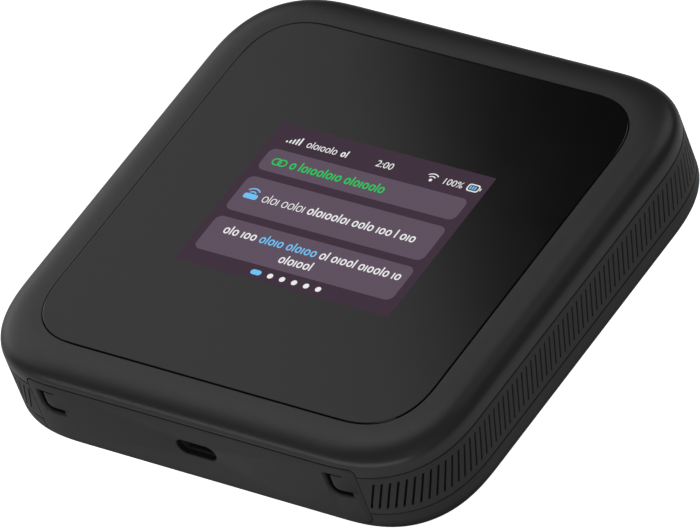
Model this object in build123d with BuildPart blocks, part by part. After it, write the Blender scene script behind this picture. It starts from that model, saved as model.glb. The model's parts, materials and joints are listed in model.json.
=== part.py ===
from build123d import *
import math
import os

os.makedirs("parts", exist_ok=True)

# Mobile hotspot. The origin is the middle of the base, +Z is up, the display faces up,
# the ports face -Y and the power button faces +Y. All sizes are in millimetres.

# Body outline and skin
body_width = 105.0
body_depth = 105.0
body_height = 21.5
corner_reach = 22.9        # how far a corner's curve runs along each side
corner_fullness = 0.697    # handle length of the corner curves, as a share of their reach
crown_height = 4.25        # height of the curve from the side wall to the top face
crown_inset = 8.35         # how far that curve comes in from the side wall
crown_exponent = 2.85      # 2 is an ellipse, and more is squarer
crown_end = 84.0           # degrees of the curve that are used before the flat ring
base_height = 5.0          # height of the curve under the side wall
base_inset = 6.0           # how far that curve goes in under the body
skin_sections = 8          # outlines that each curve is lofted through
search_steps = 40          # halvings that find a place on a corner's curve

# Seams between the shells
upper_seam = 16.2
lower_seam = 6.7
seam_gap = 0.15
fit_gap = 0.2              # clearance between nested walls
touch_gap = 0.03           # clearance of close fits

# Display lens, its adhesive and its ledge
lens_margin = 8.5
lens_gap = 0.15
lens_proud = 0.1
lens_thickness = 1.1
lens_bevel = 0.15
adhesive_thickness = 0.3
ledge_width = 2.1
ledge_thickness = 0.9

# Walls
bezel_wall = 1.5
band_thickness = 1.4
cover_wall = 1.4
frame_wall = 1.4
tongue_height = 1.5
bezel_hollow_inset = 3.3
skirt_drop = 0.6           # how far the frame's wall reaches under the side wall

# Port panel on the -Y side
panel_end_margin = 14.4    # from the body's side to the panel's end
panel_top = 18.0
panel_bottom = 4.0
panel_thickness = 1.8
panel_top_radius = 1.2
panel_bottom_radius = 1.8
usb_height = 11.4
usb_slot_width = 9.3
usb_slot_height = 3.5
usb_setback = 1.2

# Antenna covers and jacks
jack_end_margin = 4.6      # from the panel's end to a jack's middle
jack_height = 13.85
cover_leaf_length = 5.45   # from the hinge pin's axis to the free end
cover_hinge_reach = 3.0    # from the jack's middle to the hinge pin's axis
cover_leaf_height = 4.7
cover_corner = 1.6
cover_thickness = 1.5
cover_slit = 0.5           # gap at the free end and under the leaf
cover_edge_turn = 12.0     # degrees that a leaf's short edges may turn away from Y
cover_gap = 0.3            # gap over the leaf
hinge_slit = 0.12
pin_radius = 0.3
pin_gap = 0.04
pin_grip = 0.6
plug_radius = 1.3
plug_height = 0.5
barrel_radius = 2.0
barrel_bore = 1.5
barrel_length = 2.0
contact_reach = 1.6        # how far the middle contact stands into the barrel
jack_setback = 2.3
jack_flange = 5.4
jack_flange_thickness = 1.2
jack_tail = 4.0
jack_tail_height = 2.3
contact_radius = 0.35

# Frame floor, battery bay and battery
floor_bottom = 8.9
floor_thickness = 0.8
battery_width = 66.0
battery_depth = 54.0
battery_thickness = 6.6
battery_corner = 1.5
battery_edge = 0.6
battery_gap = 0.3
battery_floor_gap = 0.2
bay_wall = 1.0
bay_rear_margin = 15.2
bay_wall_bottom = 2.6
contact_block_width = 9.0
contact_block_depth = 2.6
contact_block_height = 4.0
blade_pitch = 2.25
blade_width = 1.0
blade_height = 2.0

# Main board and what stands on it
board_bottom = 13.05
board_thickness = 0.8
board_inset = 4.2
shield_wall = 0.3
modem_width = 30.0
modem_depth = 32.0
modem_height = 1.8
modem_chip_size = 14.0
wifi_width = 22.0
wifi_depth = 26.0
wifi_height = 1.5
wifi_chip_size = 10.0
power_width = 24.0
power_depth = 14.0
power_height = 2.0
power_chip_size = 7.0
shield_side_margin = 16.0
shield_rear_margin = 14.0
front_row_margin = 18.5    # from the -Y side to the middle of the SIM holder
front_row_side_margin = 30.5  # from the body's side to the middle of the SIM holder
sim_width = 15.0
sim_depth = 13.0
sim_height = 1.4
sim_slot_height = 0.8
sim_side_wall = 0.6
usb_shell_width = 8.94
usb_shell_height = 3.16
usb_shell_length = 7.3
usb_shell_wall = 0.3
usb_tongue_width = 6.7
usb_tongue_height = 0.7
usb_tongue_corner = 0.175
usb_tongue_recess = 0.9
usb_base_length = 1.6
usb_leg_thickness = 0.24
usb_leg_length = 1.2
usb_leg_pitch = 2.4        # between the two legs of a side, along Y
usb_leg_end = 0.6          # from the shell's rear end to the rear legs

# Display stack
bracket_bottom = 16.9
bracket_thickness = 0.6
bracket_inset = 5.0
spreader_inset = 17.0
spreader_thickness = 0.5
pad_size = 18.0
pad_corner = 1.0
lcd_width = 59.5
lcd_depth = 42.7
lcd_corner = 0.8
backlight_thickness = 1.35
panel_glass_inset = 1.2
panel_glass_thickness = 1.25
flex_width = 11.0
flex_thickness = 0.2
flex_reach = 2.6
flex_slot = 1.2
flex_bend = 0.6            # radius of the flex's bends
connector_width = 12.5
connector_depth = 4.0
connector_height = 1.1

# Fasteners
boss_margin = 12.0         # from both sides of the body to a corner screw
boss_radius = 2.5
screw_radius = 0.8
screw_head_radius = 1.5
screw_head_height = 1.0
screw_pocket_top = 11.5
screw_end_cover = 0.4      # plastic left over the end of a corner screw's hole
board_screw_depth = 2.8
board_screw_side_margin = 9.5
board_screw_end_margin = 34.0
standoff_radius = 1.9

# Power button on the +Y side
button_length = 13.4
button_height = 3.2
button_level = 11.45
button_gap = 0.15
button_lip = 0.8
button_flange = 0.7
button_sink = 0.05
button_edge = 0.25
switch_width = 6.0
switch_depth = 3.2
button_post_radius = 1.12
plunger_radius = 0.8
plunger_reach = 0.9
plunger_depth = 0.6
plunger_well = 1.1

# Aerials inside the frame walls
aerial_split = 1.5         # half the space between the two aerials of a side
aerial_end_margin = 2.0    # from an aerial's end to the corner's curve
aerial_height = 2.6
aerial_thickness = 0.2

# Back cover catches
catch_width = 8.0
catch_thickness = 1.0
catch_top = 8.3
catch_offset = 20.0

# Boxes that hang from, or stand on, the place they are given
MIDDLE_BELOW = (Align.CENTER, Align.CENTER, Align.MAX)
MIDDLE_ABOVE_BASE = (Align.CENTER, Align.CENTER, Align.MIN)

# Places worked out from the sizes above
half_width = body_width / 2
half_depth = body_depth / 2
panel_half_width = half_width - panel_end_margin
jack_offset = panel_half_width - jack_end_margin
front_row_offset = half_width - front_row_side_margin
skin_top = body_height - lens_proud
wall_top = skin_top - crown_height
lens_bottom = body_height - lens_thickness
ledge_top = lens_bottom - adhesive_thickness
ledge_inset = lens_margin + ledge_width
frame_inset = band_thickness + fit_gap
frame_inside = frame_inset + frame_wall
tongue_inset = bezel_wall + fit_gap
tongue_top = upper_seam + tongue_height
floor_top = floor_bottom + floor_thickness
skirt_bottom = base_height - skirt_drop
board_top = board_bottom + board_thickness
bracket_top = bracket_bottom + bracket_thickness
boss_x = half_width - boss_margin
boss_y = half_depth - boss_margin
board_screw_x = half_width - board_screw_side_margin
board_screw_y = half_depth - board_screw_end_margin
battery_top = floor_bottom - battery_floor_gap
battery_y = half_depth - bay_rear_margin - bay_wall - battery_gap - battery_depth / 2
front_row_y = front_row_margin - half_depth
panel_inside = -half_depth + panel_thickness
usb_mouth = usb_setback - half_depth
usb_rear = usb_mouth + usb_shell_length


def body_outline(inset, mode=Mode.ADD):
    # The rounded-square outline, moved in from the widest outline by inset.
    # Each corner is one curve whose bend starts and ends at nothing.
    straight_x = half_width - corner_reach
    straight_y = half_depth - corner_reach
    reach = corner_reach - inset
    along = [(1, 0), (1, corner_fullness / 2), (1, corner_fullness)]
    corner = along + [(b, a) for a, b in reversed(along)]
    turns = [(1, 1, corner), (-1, 1, corner[::-1]), (-1, -1, corner), (1, -1, corner[::-1])]
    with BuildLine() as edge:
        starts = []
        ends = []
        for side_x, side_y, handles in turns:
            points = []
            for a, b in handles:
                points.append((side_x * (straight_x + reach * a), side_y * (straight_y + reach * b)))
            Bezier(*points)
            starts.append(points[0])
            ends.append(points[-1])
        for i in range(4):
            Line(ends[i], starts[(i + 1) % 4])
    make_face(edge.edges(), mode=mode)


def slab(outer_inset, bottom, top, inner_inset=None, mode=Mode.ADD):
    # A plate of the body's outline, or a ring of it where inner_inset is given.
    with BuildSketch(Plane.XY.offset(bottom)) as profile:
        body_outline(outer_inset)
        if inner_inset is not None:
            body_outline(inner_inset, Mode.SUBTRACT)
    extrude(profile.sketch, amount=top - bottom, mode=mode)


def front_slab(outer_inset, inner_inset, half_span, bottom, top, mode=Mode.ADD):
    # The stretch of a ring that crosses the -Y side.
    with BuildSketch(Plane.XY.offset(bottom)) as profile:
        body_outline(outer_inset)
        body_outline(inner_inset, Mode.SUBTRACT)
        with Locations((0, -half_depth)):
            Rectangle(2 * half_span, corner_reach, mode=Mode.INTERSECT)
    extrude(profile.sketch, amount=top - bottom, mode=mode)


def crown_skin():
    # The curved shoulder from the side wall up to the flat ring round the lens.
    power = 2 / crown_exponent
    sections = []
    for i in range(skin_sections + 1):
        angle = math.radians(crown_end * i / skin_sections)
        inset = crown_inset * (1 - math.cos(angle) ** power)
        height = wall_top + crown_height * math.sin(angle) ** power
        with BuildSketch(Plane.XY.offset(height)) as section:
            body_outline(inset)
        sections.append(section.sketch)
    loft(sections)


def base_skin(wall, mode=Mode.ADD):
    # The curve from the flat base up to the side wall, moved in by wall.
    sections = []
    for i in range(skin_sections + 1):
        angle = math.radians(90 - 90 * i / skin_sections)
        inset = wall + (base_inset - wall) * (1 - math.cos(angle))
        height = base_height - (base_height - wall) * math.sin(angle)
        with BuildSketch(Plane.XY.offset(height)) as section:
            body_outline(inset)
        sections.append(section.sketch)
    loft(sections, mode=mode)


def box_between(low, high, mode=Mode.ADD):
    # A box given by its lowest and highest corners.
    size = [b - a for a, b in zip(low, high)]
    centre = [(a + b) / 2 for a, b in zip(low, high)]
    with Locations(tuple(centre)):
        Box(*size, mode=mode)


def receptacle_room():
    # Keeps the USB-C receptacle clear of the piece being built.
    side = usb_shell_width / 2 + touch_gap
    rise = usb_shell_height / 2 + touch_gap
    box_between(
        (-side, -half_depth, usb_height - rise), (side, usb_rear + touch_gap, usb_height + rise),
        Mode.SUBTRACT,
    )


def corner_curve(t, handles):
    # A Bezier curve's value at t, from its handles.
    degree = len(handles) - 1
    total = 0.0
    for i, handle in enumerate(handles):
        total += math.comb(degree, i) * (1 - t) ** (degree - i) * t**i * handle
    return total


def skin_retreat(x):
    # How far the -Y side has curved back at x.
    past = (abs(x) - half_width + corner_reach) / corner_reach
    if past <= 0:
        return 0.0
    across = (0, corner_fullness / 2, corner_fullness, 1, 1, 1)
    low = 0.0
    high = 1.0
    for _ in range(search_steps):
        middle = (low + high) / 2
        if corner_curve(middle, across) < past:
            low = middle
        else:
            high = middle
    return corner_reach * (1 - corner_curve(low, across[::-1]))


# Front bezel: the crown, its hollow underside, the lens's seat and four screw bosses
with BuildPart() as front_bezel:
    slab(0, upper_seam + seam_gap / 2, wall_top)
    crown_skin()
    slab(bezel_wall, upper_seam, tongue_top + fit_gap, mode=Mode.SUBTRACT)
    slab(bezel_hollow_inset, upper_seam, ledge_top - ledge_thickness, mode=Mode.SUBTRACT)
    slab(lens_margin - lens_gap, ledge_top, body_height, mode=Mode.SUBTRACT)
    slab(ledge_inset, upper_seam, body_height, mode=Mode.SUBTRACT)
    front_slab(
        -panel_thickness, bezel_hollow_inset, panel_half_width + seam_gap,
        upper_seam, panel_top + seam_gap, mode=Mode.SUBTRACT,
    )
    with BuildSketch(Plane.XY.offset(bracket_top)):
        with GridLocations(2 * boss_x, 2 * boss_y, 2, 2):
            Circle(boss_radius)
    extrude(amount=ledge_top - ledge_thickness - bracket_top)
    with BuildSketch(Plane.XY.offset(bracket_top)):
        with GridLocations(2 * boss_x, 2 * boss_y, 2, 2):
            Circle(screw_radius + touch_gap)
    extrude(amount=ledge_top - bracket_top - screw_end_cover, mode=Mode.SUBTRACT)
front_bezel.part.label = "front_bezel"
export_step(front_bezel.part, "parts/front_bezel.step")

# Display lens: one sheet of glass over the whole top, with its rim broken
with BuildPart() as display_lens:
    slab(lens_margin, lens_bottom, body_height)
    chamfer(display_lens.faces().sort_by(Axis.Z)[-1].edges(), lens_bevel)
display_lens.part.label = "display_lens"
export_step(display_lens.part, "parts/display_lens.step")

with BuildPart() as lens_adhesive:
    slab(lens_margin + fit_gap, ledge_top, lens_bottom, ledge_inset - fit_gap)
lens_adhesive.part.label = "lens_adhesive"
export_step(lens_adhesive.part, "parts/lens_adhesive.step")

# Ribbed band round three sides and the four corners
with BuildPart() as ribbed_band:
    slab(0, lower_seam + seam_gap / 2, upper_seam - seam_gap / 2, band_thickness)
    front_slab(
        -band_thickness, 2 * band_thickness, panel_half_width + seam_gap,
        lower_seam, upper_seam, mode=Mode.SUBTRACT,
    )
    with BuildSketch(Plane.XZ.offset(-half_depth)):
        with Locations((0, button_level)):
            SlotOverall(button_length + 2 * button_gap, button_height + 2 * button_gap)
    extrude(amount=2 * band_thickness, both=True, mode=Mode.SUBTRACT)
ribbed_band.part.label = "ribbed_band"
export_step(ribbed_band.part, "parts/ribbed_band.step")

# Mid frame: the wall inside the band, the floor, the battery bay and the screw bosses
bay_half_width = battery_width / 2 + battery_gap
bay_half_depth = battery_depth / 2 + battery_gap
bay_front = battery_y - bay_half_depth
with BuildPart() as mid_frame:
    slab(frame_inset, skirt_bottom, upper_seam - fit_gap, frame_inside)
    slab(tongue_inset, upper_seam - fit_gap, tongue_top, frame_inside)
    slab(frame_inside - frame_wall / 2, floor_bottom, floor_top)
    with BuildSketch(Plane.XY.offset(bay_wall_bottom)):
        with Locations((0, battery_y)):
            Rectangle(2 * (bay_half_width + bay_wall), 2 * (bay_half_depth + bay_wall))
            Rectangle(2 * bay_half_width, 2 * bay_half_depth, mode=Mode.SUBTRACT)
    extrude(amount=floor_bottom - bay_wall_bottom)
    with BuildSketch(Plane.XY.offset(floor_top)):
        with GridLocations(2 * boss_x, 2 * boss_y, 2, 2):
            Circle(boss_radius)
    extrude(amount=bracket_bottom - floor_top)
    with BuildSketch(Plane.XY.offset(floor_top)):
        with GridLocations(2 * board_screw_x, 2 * board_screw_y, 2, 2):
            Circle(standoff_radius)
    extrude(amount=board_bottom - floor_top)
    # Screw holes, with pockets for the corner screws' heads
    with BuildSketch(Plane.XY.offset(floor_bottom)):
        with GridLocations(2 * boss_x, 2 * boss_y, 2, 2):
            Circle(screw_head_radius + fit_gap)
    extrude(amount=screw_pocket_top - floor_bottom, mode=Mode.SUBTRACT)
    with BuildSketch(Plane.XY.offset(screw_pocket_top)):
        with GridLocations(2 * boss_x, 2 * boss_y, 2, 2):
            Circle(screw_radius + fit_gap)
    extrude(amount=bracket_bottom - screw_pocket_top, mode=Mode.SUBTRACT)
    with BuildSketch(Plane.XY.offset(board_bottom)):
        with GridLocations(2 * board_screw_x, 2 * board_screw_y, 2, 2):
            Circle(screw_radius + touch_gap)
    extrude(amount=-board_screw_depth - touch_gap, mode=Mode.SUBTRACT)
    # Seat for the port panel, and ways through for the ports
    front_slab(
        -frame_inset, panel_thickness + touch_gap, panel_half_width + fit_gap,
        skirt_bottom, tongue_top, mode=Mode.SUBTRACT,
    )
    box_between(
        (-usb_slot_width / 2, -half_depth, usb_height - usb_slot_height / 2),
        (usb_slot_width / 2, frame_inside - half_depth + fit_gap, usb_height + usb_slot_height / 2),
        Mode.SUBTRACT,
    )
    receptacle_room()
    for side in (-1, 1):
        with Locations((side * jack_offset, frame_inside - half_depth, jack_height)):
            Box(
                jack_flange + 2 * fit_gap, 2 * frame_inside, jack_flange + 2 * fit_gap,
                mode=Mode.SUBTRACT,
            )
    # Way through for the power button's flange
    with Locations((0, half_depth - frame_inset, button_level)):
        Box(
            button_length + 2 * button_lip + 2 * fit_gap, 2 * frame_wall + 2 * fit_gap,
            button_height + 2 * button_lip + 2 * fit_gap, mode=Mode.SUBTRACT,
        )
    # Window under the SIM holder, and a gap in the bay's wall for the contact block
    with Locations((front_row_offset, front_row_y, floor_bottom)):
        Box(sim_width, sim_depth, 4 * floor_thickness, mode=Mode.SUBTRACT)
    with Locations((0, bay_front, floor_bottom)):
        Box(
            contact_block_width + 2 * touch_gap, 2 * contact_block_depth,
            contact_block_height + touch_gap, align=MIDDLE_BELOW, mode=Mode.SUBTRACT,
        )
mid_frame.part.label = "mid_frame"
export_step(mid_frame.part, "parts/mid_frame.step")

# Back cover: the lower shell, with six catches that grip inside the frame's wall
catch_inset = frame_inside + fit_gap + catch_thickness / 2
with BuildPart() as back_cover:
    slab(0, base_height, lower_seam - seam_gap / 2)
    base_skin(0)
    slab(cover_wall, base_height, lower_seam, mode=Mode.SUBTRACT)
    base_skin(cover_wall, Mode.SUBTRACT)
    front_slab(
        -panel_thickness, panel_thickness + fit_gap, panel_half_width + seam_gap,
        panel_bottom - seam_gap, lower_seam, mode=Mode.SUBTRACT,
    )
    catch_height = catch_top - cover_wall / 2
    for side in (-1, 1):
        with Locations(
            (side * (half_width - catch_inset), catch_offset, cover_wall / 2),
            (side * (half_width - catch_inset), -catch_offset, cover_wall / 2),
        ):
            Box(catch_thickness, catch_width, catch_height, align=MIDDLE_ABOVE_BASE)
        with Locations((side * catch_offset, half_depth - catch_inset, cover_wall / 2)):
            Box(catch_width, catch_thickness, catch_height, align=MIDDLE_ABOVE_BASE)
back_cover.part.label = "back_cover"
export_step(back_cover.part, "parts/back_cover.step")

# Port panel, with the USB slot, two openings for the antenna covers and their pin holes
cover_bottom = jack_height - cover_leaf_height / 2
cover_top = jack_height + cover_leaf_height / 2
jack_length = jack_setback + barrel_length + jack_flange_thickness
hinge_xs = (-jack_offset + cover_hinge_reach, jack_offset + cover_hinge_reach)
hinge_ys = [skin_retreat(x) - half_depth + cover_thickness / 2 for x in hinge_xs]
opening_end = panel_inside + skin_retreat(panel_half_width) + fit_gap
with BuildPart() as port_panel:
    front_slab(0, panel_thickness, panel_half_width, panel_bottom, panel_top)
    fillet(port_panel.edges().filter_by(Axis.Y).group_by(Axis.Z)[-1], panel_top_radius)
    fillet(port_panel.edges().filter_by(Axis.Y).group_by(Axis.Z)[0], panel_bottom_radius)
    with BuildSketch(Plane.XZ.offset(half_depth)):
        with Locations((0, usb_height)):
            SlotOverall(usb_slot_width, usb_slot_height)
    extrude(amount=-2 * panel_thickness, mode=Mode.SUBTRACT)
    for hinge_x in hinge_xs:
        box_between(
            (hinge_x - cover_leaf_length - cover_slit, -body_depth, cover_bottom - cover_slit),
            (hinge_x + cover_thickness / 2 + hinge_slit, opening_end, cover_top + cover_gap),
            Mode.SUBTRACT,
        )
    for hinge_x, hinge_y in zip(hinge_xs, hinge_ys):
        with Locations((hinge_x, hinge_y, jack_height)):
            Cylinder(
                pin_radius + touch_gap,
                cover_leaf_height + 2 * cover_slit + 2 * pin_grip + 2 * touch_gap, mode=Mode.SUBTRACT,
            )
port_panel.part.label = "port_panel"
export_step(port_panel.part, "parts/port_panel.step")

# Antenna covers, their pins, the jacks and the jacks' contacts
for side, hinge_x, hinge_y in zip(("left", "right"), hinge_xs, hinge_ys):
    jack_x = hinge_x - cover_hinge_reach
    skin_y = skin_retreat(jack_x) - half_depth
    with BuildPart() as antenna_cover:
        front_slab(0, cover_thickness, panel_half_width, cover_bottom, cover_top)
        box_between(
            (hinge_x - cover_leaf_length, -half_depth, cover_bottom),
            (hinge_x, 0, cover_top),
            Mode.INTERSECT,
        )
        foot = antenna_cover.edges().filter_by(Axis.Y, tolerance=cover_edge_turn).group_by(Axis.Z)[0]
        fillet(foot.sort_by(Axis.X)[0], cover_corner)
        with Locations((hinge_x, hinge_y, jack_height)):
            Cylinder(cover_thickness / 2 - touch_gap, cover_leaf_height)
            Cylinder(pin_radius + pin_gap, cover_leaf_height, mode=Mode.SUBTRACT)
        with BuildSketch(Plane.XZ.offset(-skin_y - cover_thickness / 2)):
            with Locations((jack_x, jack_height)):
                Circle(plug_radius)
        extrude(amount=-cover_thickness / 2 - plug_height)
    antenna_cover.part.label = f"antenna_cover_{side}"
    export_step(antenna_cover.part, f"parts/antenna_cover_{side}.step")

    with BuildPart() as cover_pin:
        with Locations((hinge_x, hinge_y, jack_height)):
            Cylinder(pin_radius, cover_leaf_height + 2 * cover_slit + 2 * pin_grip)
    cover_pin.part.label = f"cover_pin_{side}"
    export_step(cover_pin.part, f"parts/cover_pin_{side}.step")

    barrel_mouth = skin_y + jack_setback
    flange_front = barrel_mouth + barrel_length
    flange_back = flange_front + jack_flange_thickness
    with BuildPart() as antenna_jack:
        with BuildSketch(Plane.XZ.offset(-flange_front)):
            with Locations((jack_x, jack_height)):
                Circle(barrel_radius)
                Circle(barrel_bore, mode=Mode.SUBTRACT)
        extrude(amount=barrel_length)
        half_flange = jack_flange / 2
        box_between(
            (jack_x - half_flange, flange_front, jack_height - half_flange),
            (jack_x + half_flange, flange_back, jack_height + half_flange),
        )
        box_between(
            (jack_x - half_flange, flange_back, board_top),
            (jack_x + half_flange, flange_back + jack_tail, board_top + jack_tail_height),
        )
        with BuildSketch(Plane.XZ.offset(-flange_front)):
            with Locations((jack_x, jack_height)):
                Circle(contact_radius + touch_gap)
        extrude(amount=-jack_flange_thickness, mode=Mode.SUBTRACT)
    antenna_jack.part.label = f"antenna_jack_{side}"
    export_step(antenna_jack.part, f"parts/antenna_jack_{side}.step")

    with BuildPart() as jack_contact:
        with BuildSketch(Plane.XZ.offset(-flange_back)):
            with Locations((jack_x, jack_height)):
                Circle(contact_radius)
        extrude(amount=jack_flange_thickness + contact_reach)
        fillet(jack_contact.faces().sort_by(Axis.Y)[0].edges(), contact_radius / 2)
    jack_contact.part.label = f"jack_contact_{side}"
    export_step(jack_contact.part, f"parts/jack_contact_{side}.step")

# USB-C receptacle: a drawn steel shell round a moulded tongue, on four legs under the board
usb_plane = Plane.XZ.offset(-usb_mouth)
inner_width = usb_shell_width - 2 * usb_shell_wall
inner_height = usb_shell_height - 2 * usb_shell_wall
with BuildPart() as usb_shell:
    with BuildSketch(usb_plane):
        with Locations((0, usb_height)):
            SlotOverall(usb_shell_width, usb_shell_height)
            SlotOverall(inner_width, inner_height, mode=Mode.SUBTRACT)
    extrude(amount=-usb_shell_length)
    leg_low = min(usb_height, board_bottom)
    leg_high = max(usb_height, board_bottom)
    for end in (usb_rear - usb_leg_end, usb_rear - usb_leg_end - usb_leg_pitch):
        for side in (-1, 1):
            outer = side * usb_shell_width / 2
            inner = outer - side * usb_leg_thickness
            box_between(
                (min(inner, outer), end - usb_leg_length, leg_low),
                (max(inner, outer), end, leg_high),
            )
usb_shell.part.label = "usb_shell"
export_step(usb_shell.part, "parts/usb_shell.step")

with BuildPart() as usb_tongue:
    with BuildSketch(usb_plane.offset(-usb_tongue_recess)):
        with Locations((0, usb_height)):
            RectangleRounded(usb_tongue_width, usb_tongue_height, usb_tongue_corner)
    extrude(amount=usb_tongue_recess - usb_shell_length)
    with BuildSketch(usb_plane.offset(usb_base_length - usb_shell_length)):
        with Locations((0, usb_height)):
            SlotOverall(inner_width - 2 * touch_gap, inner_height - 2 * touch_gap)
    extrude(amount=-usb_base_length)
usb_tongue.part.label = "usb_tongue"
export_step(usb_tongue.part, "parts/usb_tongue.step")

# Main board, cut away round the corner bosses and behind the jacks
with BuildPart() as main_board:
    slab(board_inset, board_bottom, board_top)
    with BuildSketch(Plane.XY.offset(board_bottom)):
        with GridLocations(2 * boss_x, 2 * boss_y, 2, 2):
            Circle(boss_radius + fit_gap)
        with GridLocations(2 * board_screw_x, 2 * board_screw_y, 2, 2):
            Circle(screw_radius + fit_gap)
    extrude(amount=board_thickness, mode=Mode.SUBTRACT)
    receptacle_room()
    for hinge_x in hinge_xs:
        jack_x = hinge_x - cover_hinge_reach
        flange_back = skin_retreat(jack_x) - half_depth + jack_length
        box_between(
            (jack_x - jack_flange / 2 - fit_gap, -half_depth, board_bottom),
            (jack_x + jack_flange / 2 + fit_gap, flange_back, board_top),
            Mode.SUBTRACT,
        )
main_board.part.label = "main_board"
export_step(main_board.part, "parts/main_board.step")

# Shield cans and the chips under them: on top of the board at the back, under it at the front
shield_side = half_width - shield_side_margin
shield_rear = half_depth - shield_rear_margin
modem_place = (modem_width / 2 - shield_side, shield_rear - modem_depth / 2)
wifi_place = (shield_side - wifi_width / 2, shield_rear - wifi_depth / 2)
power_place = (-front_row_offset, front_row_y)
cans = {
    "modem": (modem_place, modem_width, modem_depth, modem_height, modem_chip_size, board_top, 1),
    "wifi": (wifi_place, wifi_width, wifi_depth, wifi_height, wifi_chip_size, board_top, 1),
    "power": (power_place, power_width, power_depth, -power_height, power_chip_size, board_bottom, -1),
}
for name, (place, width, depth, height, chip, level, way) in cans.items():
    inside = height - way * shield_wall
    with BuildPart() as shield:
        with BuildSketch(Plane.XY.offset(level)):
            with Locations(place):
                RectangleRounded(width, depth, 2 * shield_wall)
        extrude(amount=height)
        with BuildSketch(Plane.XY.offset(level)):
            with Locations(place):
                RectangleRounded(width - 2 * shield_wall, depth - 2 * shield_wall, shield_wall)
        extrude(amount=inside, mode=Mode.SUBTRACT)
    shield.part.label = f"{name}_shield"
    export_step(shield.part, f"parts/{name}_shield.step")

    with BuildPart() as die:
        with BuildSketch(Plane.XY.offset(level)):
            with Locations(place):
                Rectangle(chip, chip)
        extrude(amount=inside - way * fit_gap)
        chamfer(die.edges().filter_by(Axis.Z), shield_wall)
    die.part.label = f"{name}_chip"
    export_step(die.part, f"parts/{name}_chip.step")

# SIM holder under the board, open towards -Y
with BuildPart() as sim_holder:
    with Locations((front_row_offset, front_row_y, board_bottom)):
        Box(sim_width, sim_depth, sim_height, align=MIDDLE_BELOW)
    with Locations((front_row_offset, front_row_y - shield_wall, board_bottom - shield_wall)):
        Box(
            sim_width - 2 * sim_side_wall, sim_depth, sim_slot_height,
            align=MIDDLE_BELOW, mode=Mode.SUBTRACT,
        )
sim_holder.part.label = "sim_holder"
export_step(sim_holder.part, "parts/sim_holder.step")

# Heat path: pad on the modem's shield, then a spreader under the display bracket
spreader_bottom = bracket_bottom - touch_gap - spreader_thickness
flex_y = -lcd_depth / 2 - flex_reach
with BuildPart() as thermal_pad:
    with BuildSketch(Plane.XY.offset(board_top + modem_height)):
        with Locations(modem_place):
            RectangleRounded(pad_size, pad_size, pad_corner)
    extrude(amount=spreader_bottom - board_top - modem_height)
thermal_pad.part.label = "thermal_pad"
export_step(thermal_pad.part, "parts/thermal_pad.step")

with BuildPart() as heat_spreader:
    slab(spreader_inset, spreader_bottom, spreader_bottom + spreader_thickness)
    with Locations((0, flex_y, bracket_bottom)):
        Box(flex_width + 2 * flex_slot, 2 * flex_slot, 4 * spreader_thickness, mode=Mode.SUBTRACT)
heat_spreader.part.label = "heat_spreader"
export_step(heat_spreader.part, "parts/heat_spreader.step")

# Display bracket, backlight, panel glass, flex and connector
with BuildPart() as display_bracket:
    slab(bracket_inset, bracket_bottom, bracket_top)
    with BuildSketch(Plane.XY.offset(bracket_bottom)):
        with GridLocations(2 * boss_x, 2 * boss_y, 2, 2):
            Circle(screw_radius + fit_gap)
        with Locations((0, flex_y)):
            Rectangle(flex_width + 2 * flex_slot, 2 * flex_slot)
    extrude(amount=bracket_thickness, mode=Mode.SUBTRACT)
display_bracket.part.label = "display_bracket"
export_step(display_bracket.part, "parts/display_bracket.step")

backlight_top = bracket_top + backlight_thickness
with BuildPart() as backlight_unit:
    with BuildSketch(Plane.XY.offset(bracket_top)):
        RectangleRounded(lcd_width, lcd_depth, lcd_corner)
    extrude(amount=backlight_thickness)
backlight_unit.part.label = "backlight_unit"
export_step(backlight_unit.part, "parts/backlight_unit.step")

with BuildPart() as lcd_panel:
    with BuildSketch(Plane.XY.offset(backlight_top)):
        Rectangle(lcd_width - 2 * panel_glass_inset, lcd_depth - 2 * panel_glass_inset)
    extrude(amount=panel_glass_thickness)
lcd_panel.part.label = "lcd_panel"
export_step(lcd_panel.part, "parts/lcd_panel.step")

connector_top = board_top + connector_height
flex_top = bracket_top + backlight_thickness / 2
with BuildPart() as display_flex:
    with BuildSketch(Plane.YZ):
        with BuildLine():
            FilletPolyline(
                (-(lcd_depth + flex_thickness) / 2, flex_top),
                (flex_y, flex_top),
                (flex_y, connector_top + flex_thickness / 2),
                (flex_y - connector_depth, connector_top + flex_thickness / 2),
                radius=flex_bend,
            )
            offset(amount=flex_thickness / 2, side=Side.BOTH)
        make_face()
    extrude(amount=flex_width / 2, both=True)
display_flex.part.label = "display_flex"
export_step(display_flex.part, "parts/display_flex.step")

with BuildPart() as display_connector:
    with Locations((0, flex_y - connector_depth / 2, board_top)):
        Box(connector_width, connector_depth, connector_height, align=MIDDLE_ABOVE_BASE)
    chamfer(display_connector.edges().filter_by(Axis.Z), shield_wall)
display_connector.part.label = "display_connector"
export_step(display_connector.part, "parts/display_connector.step")

# Battery, its contact block and four spring blades
with BuildPart() as battery_pack:
    with BuildSketch(Plane.XY.offset(battery_top)):
        with Locations((0, battery_y)):
            RectangleRounded(battery_width, battery_depth, battery_corner)
    extrude(amount=-battery_thickness)
    fillet(battery_pack.edges().group_by(Axis.Z)[0], battery_edge)
battery_pack.part.label = "battery_pack"
export_step(battery_pack.part, "parts/battery_pack.step")

with BuildPart() as contact_block:
    with Locations((0, bay_front - contact_block_depth / 2, floor_bottom)):
        Box(contact_block_width, contact_block_depth, contact_block_height, align=MIDDLE_BELOW)
contact_block.part.label = "contact_block"
export_step(contact_block.part, "parts/contact_block.step")

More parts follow.
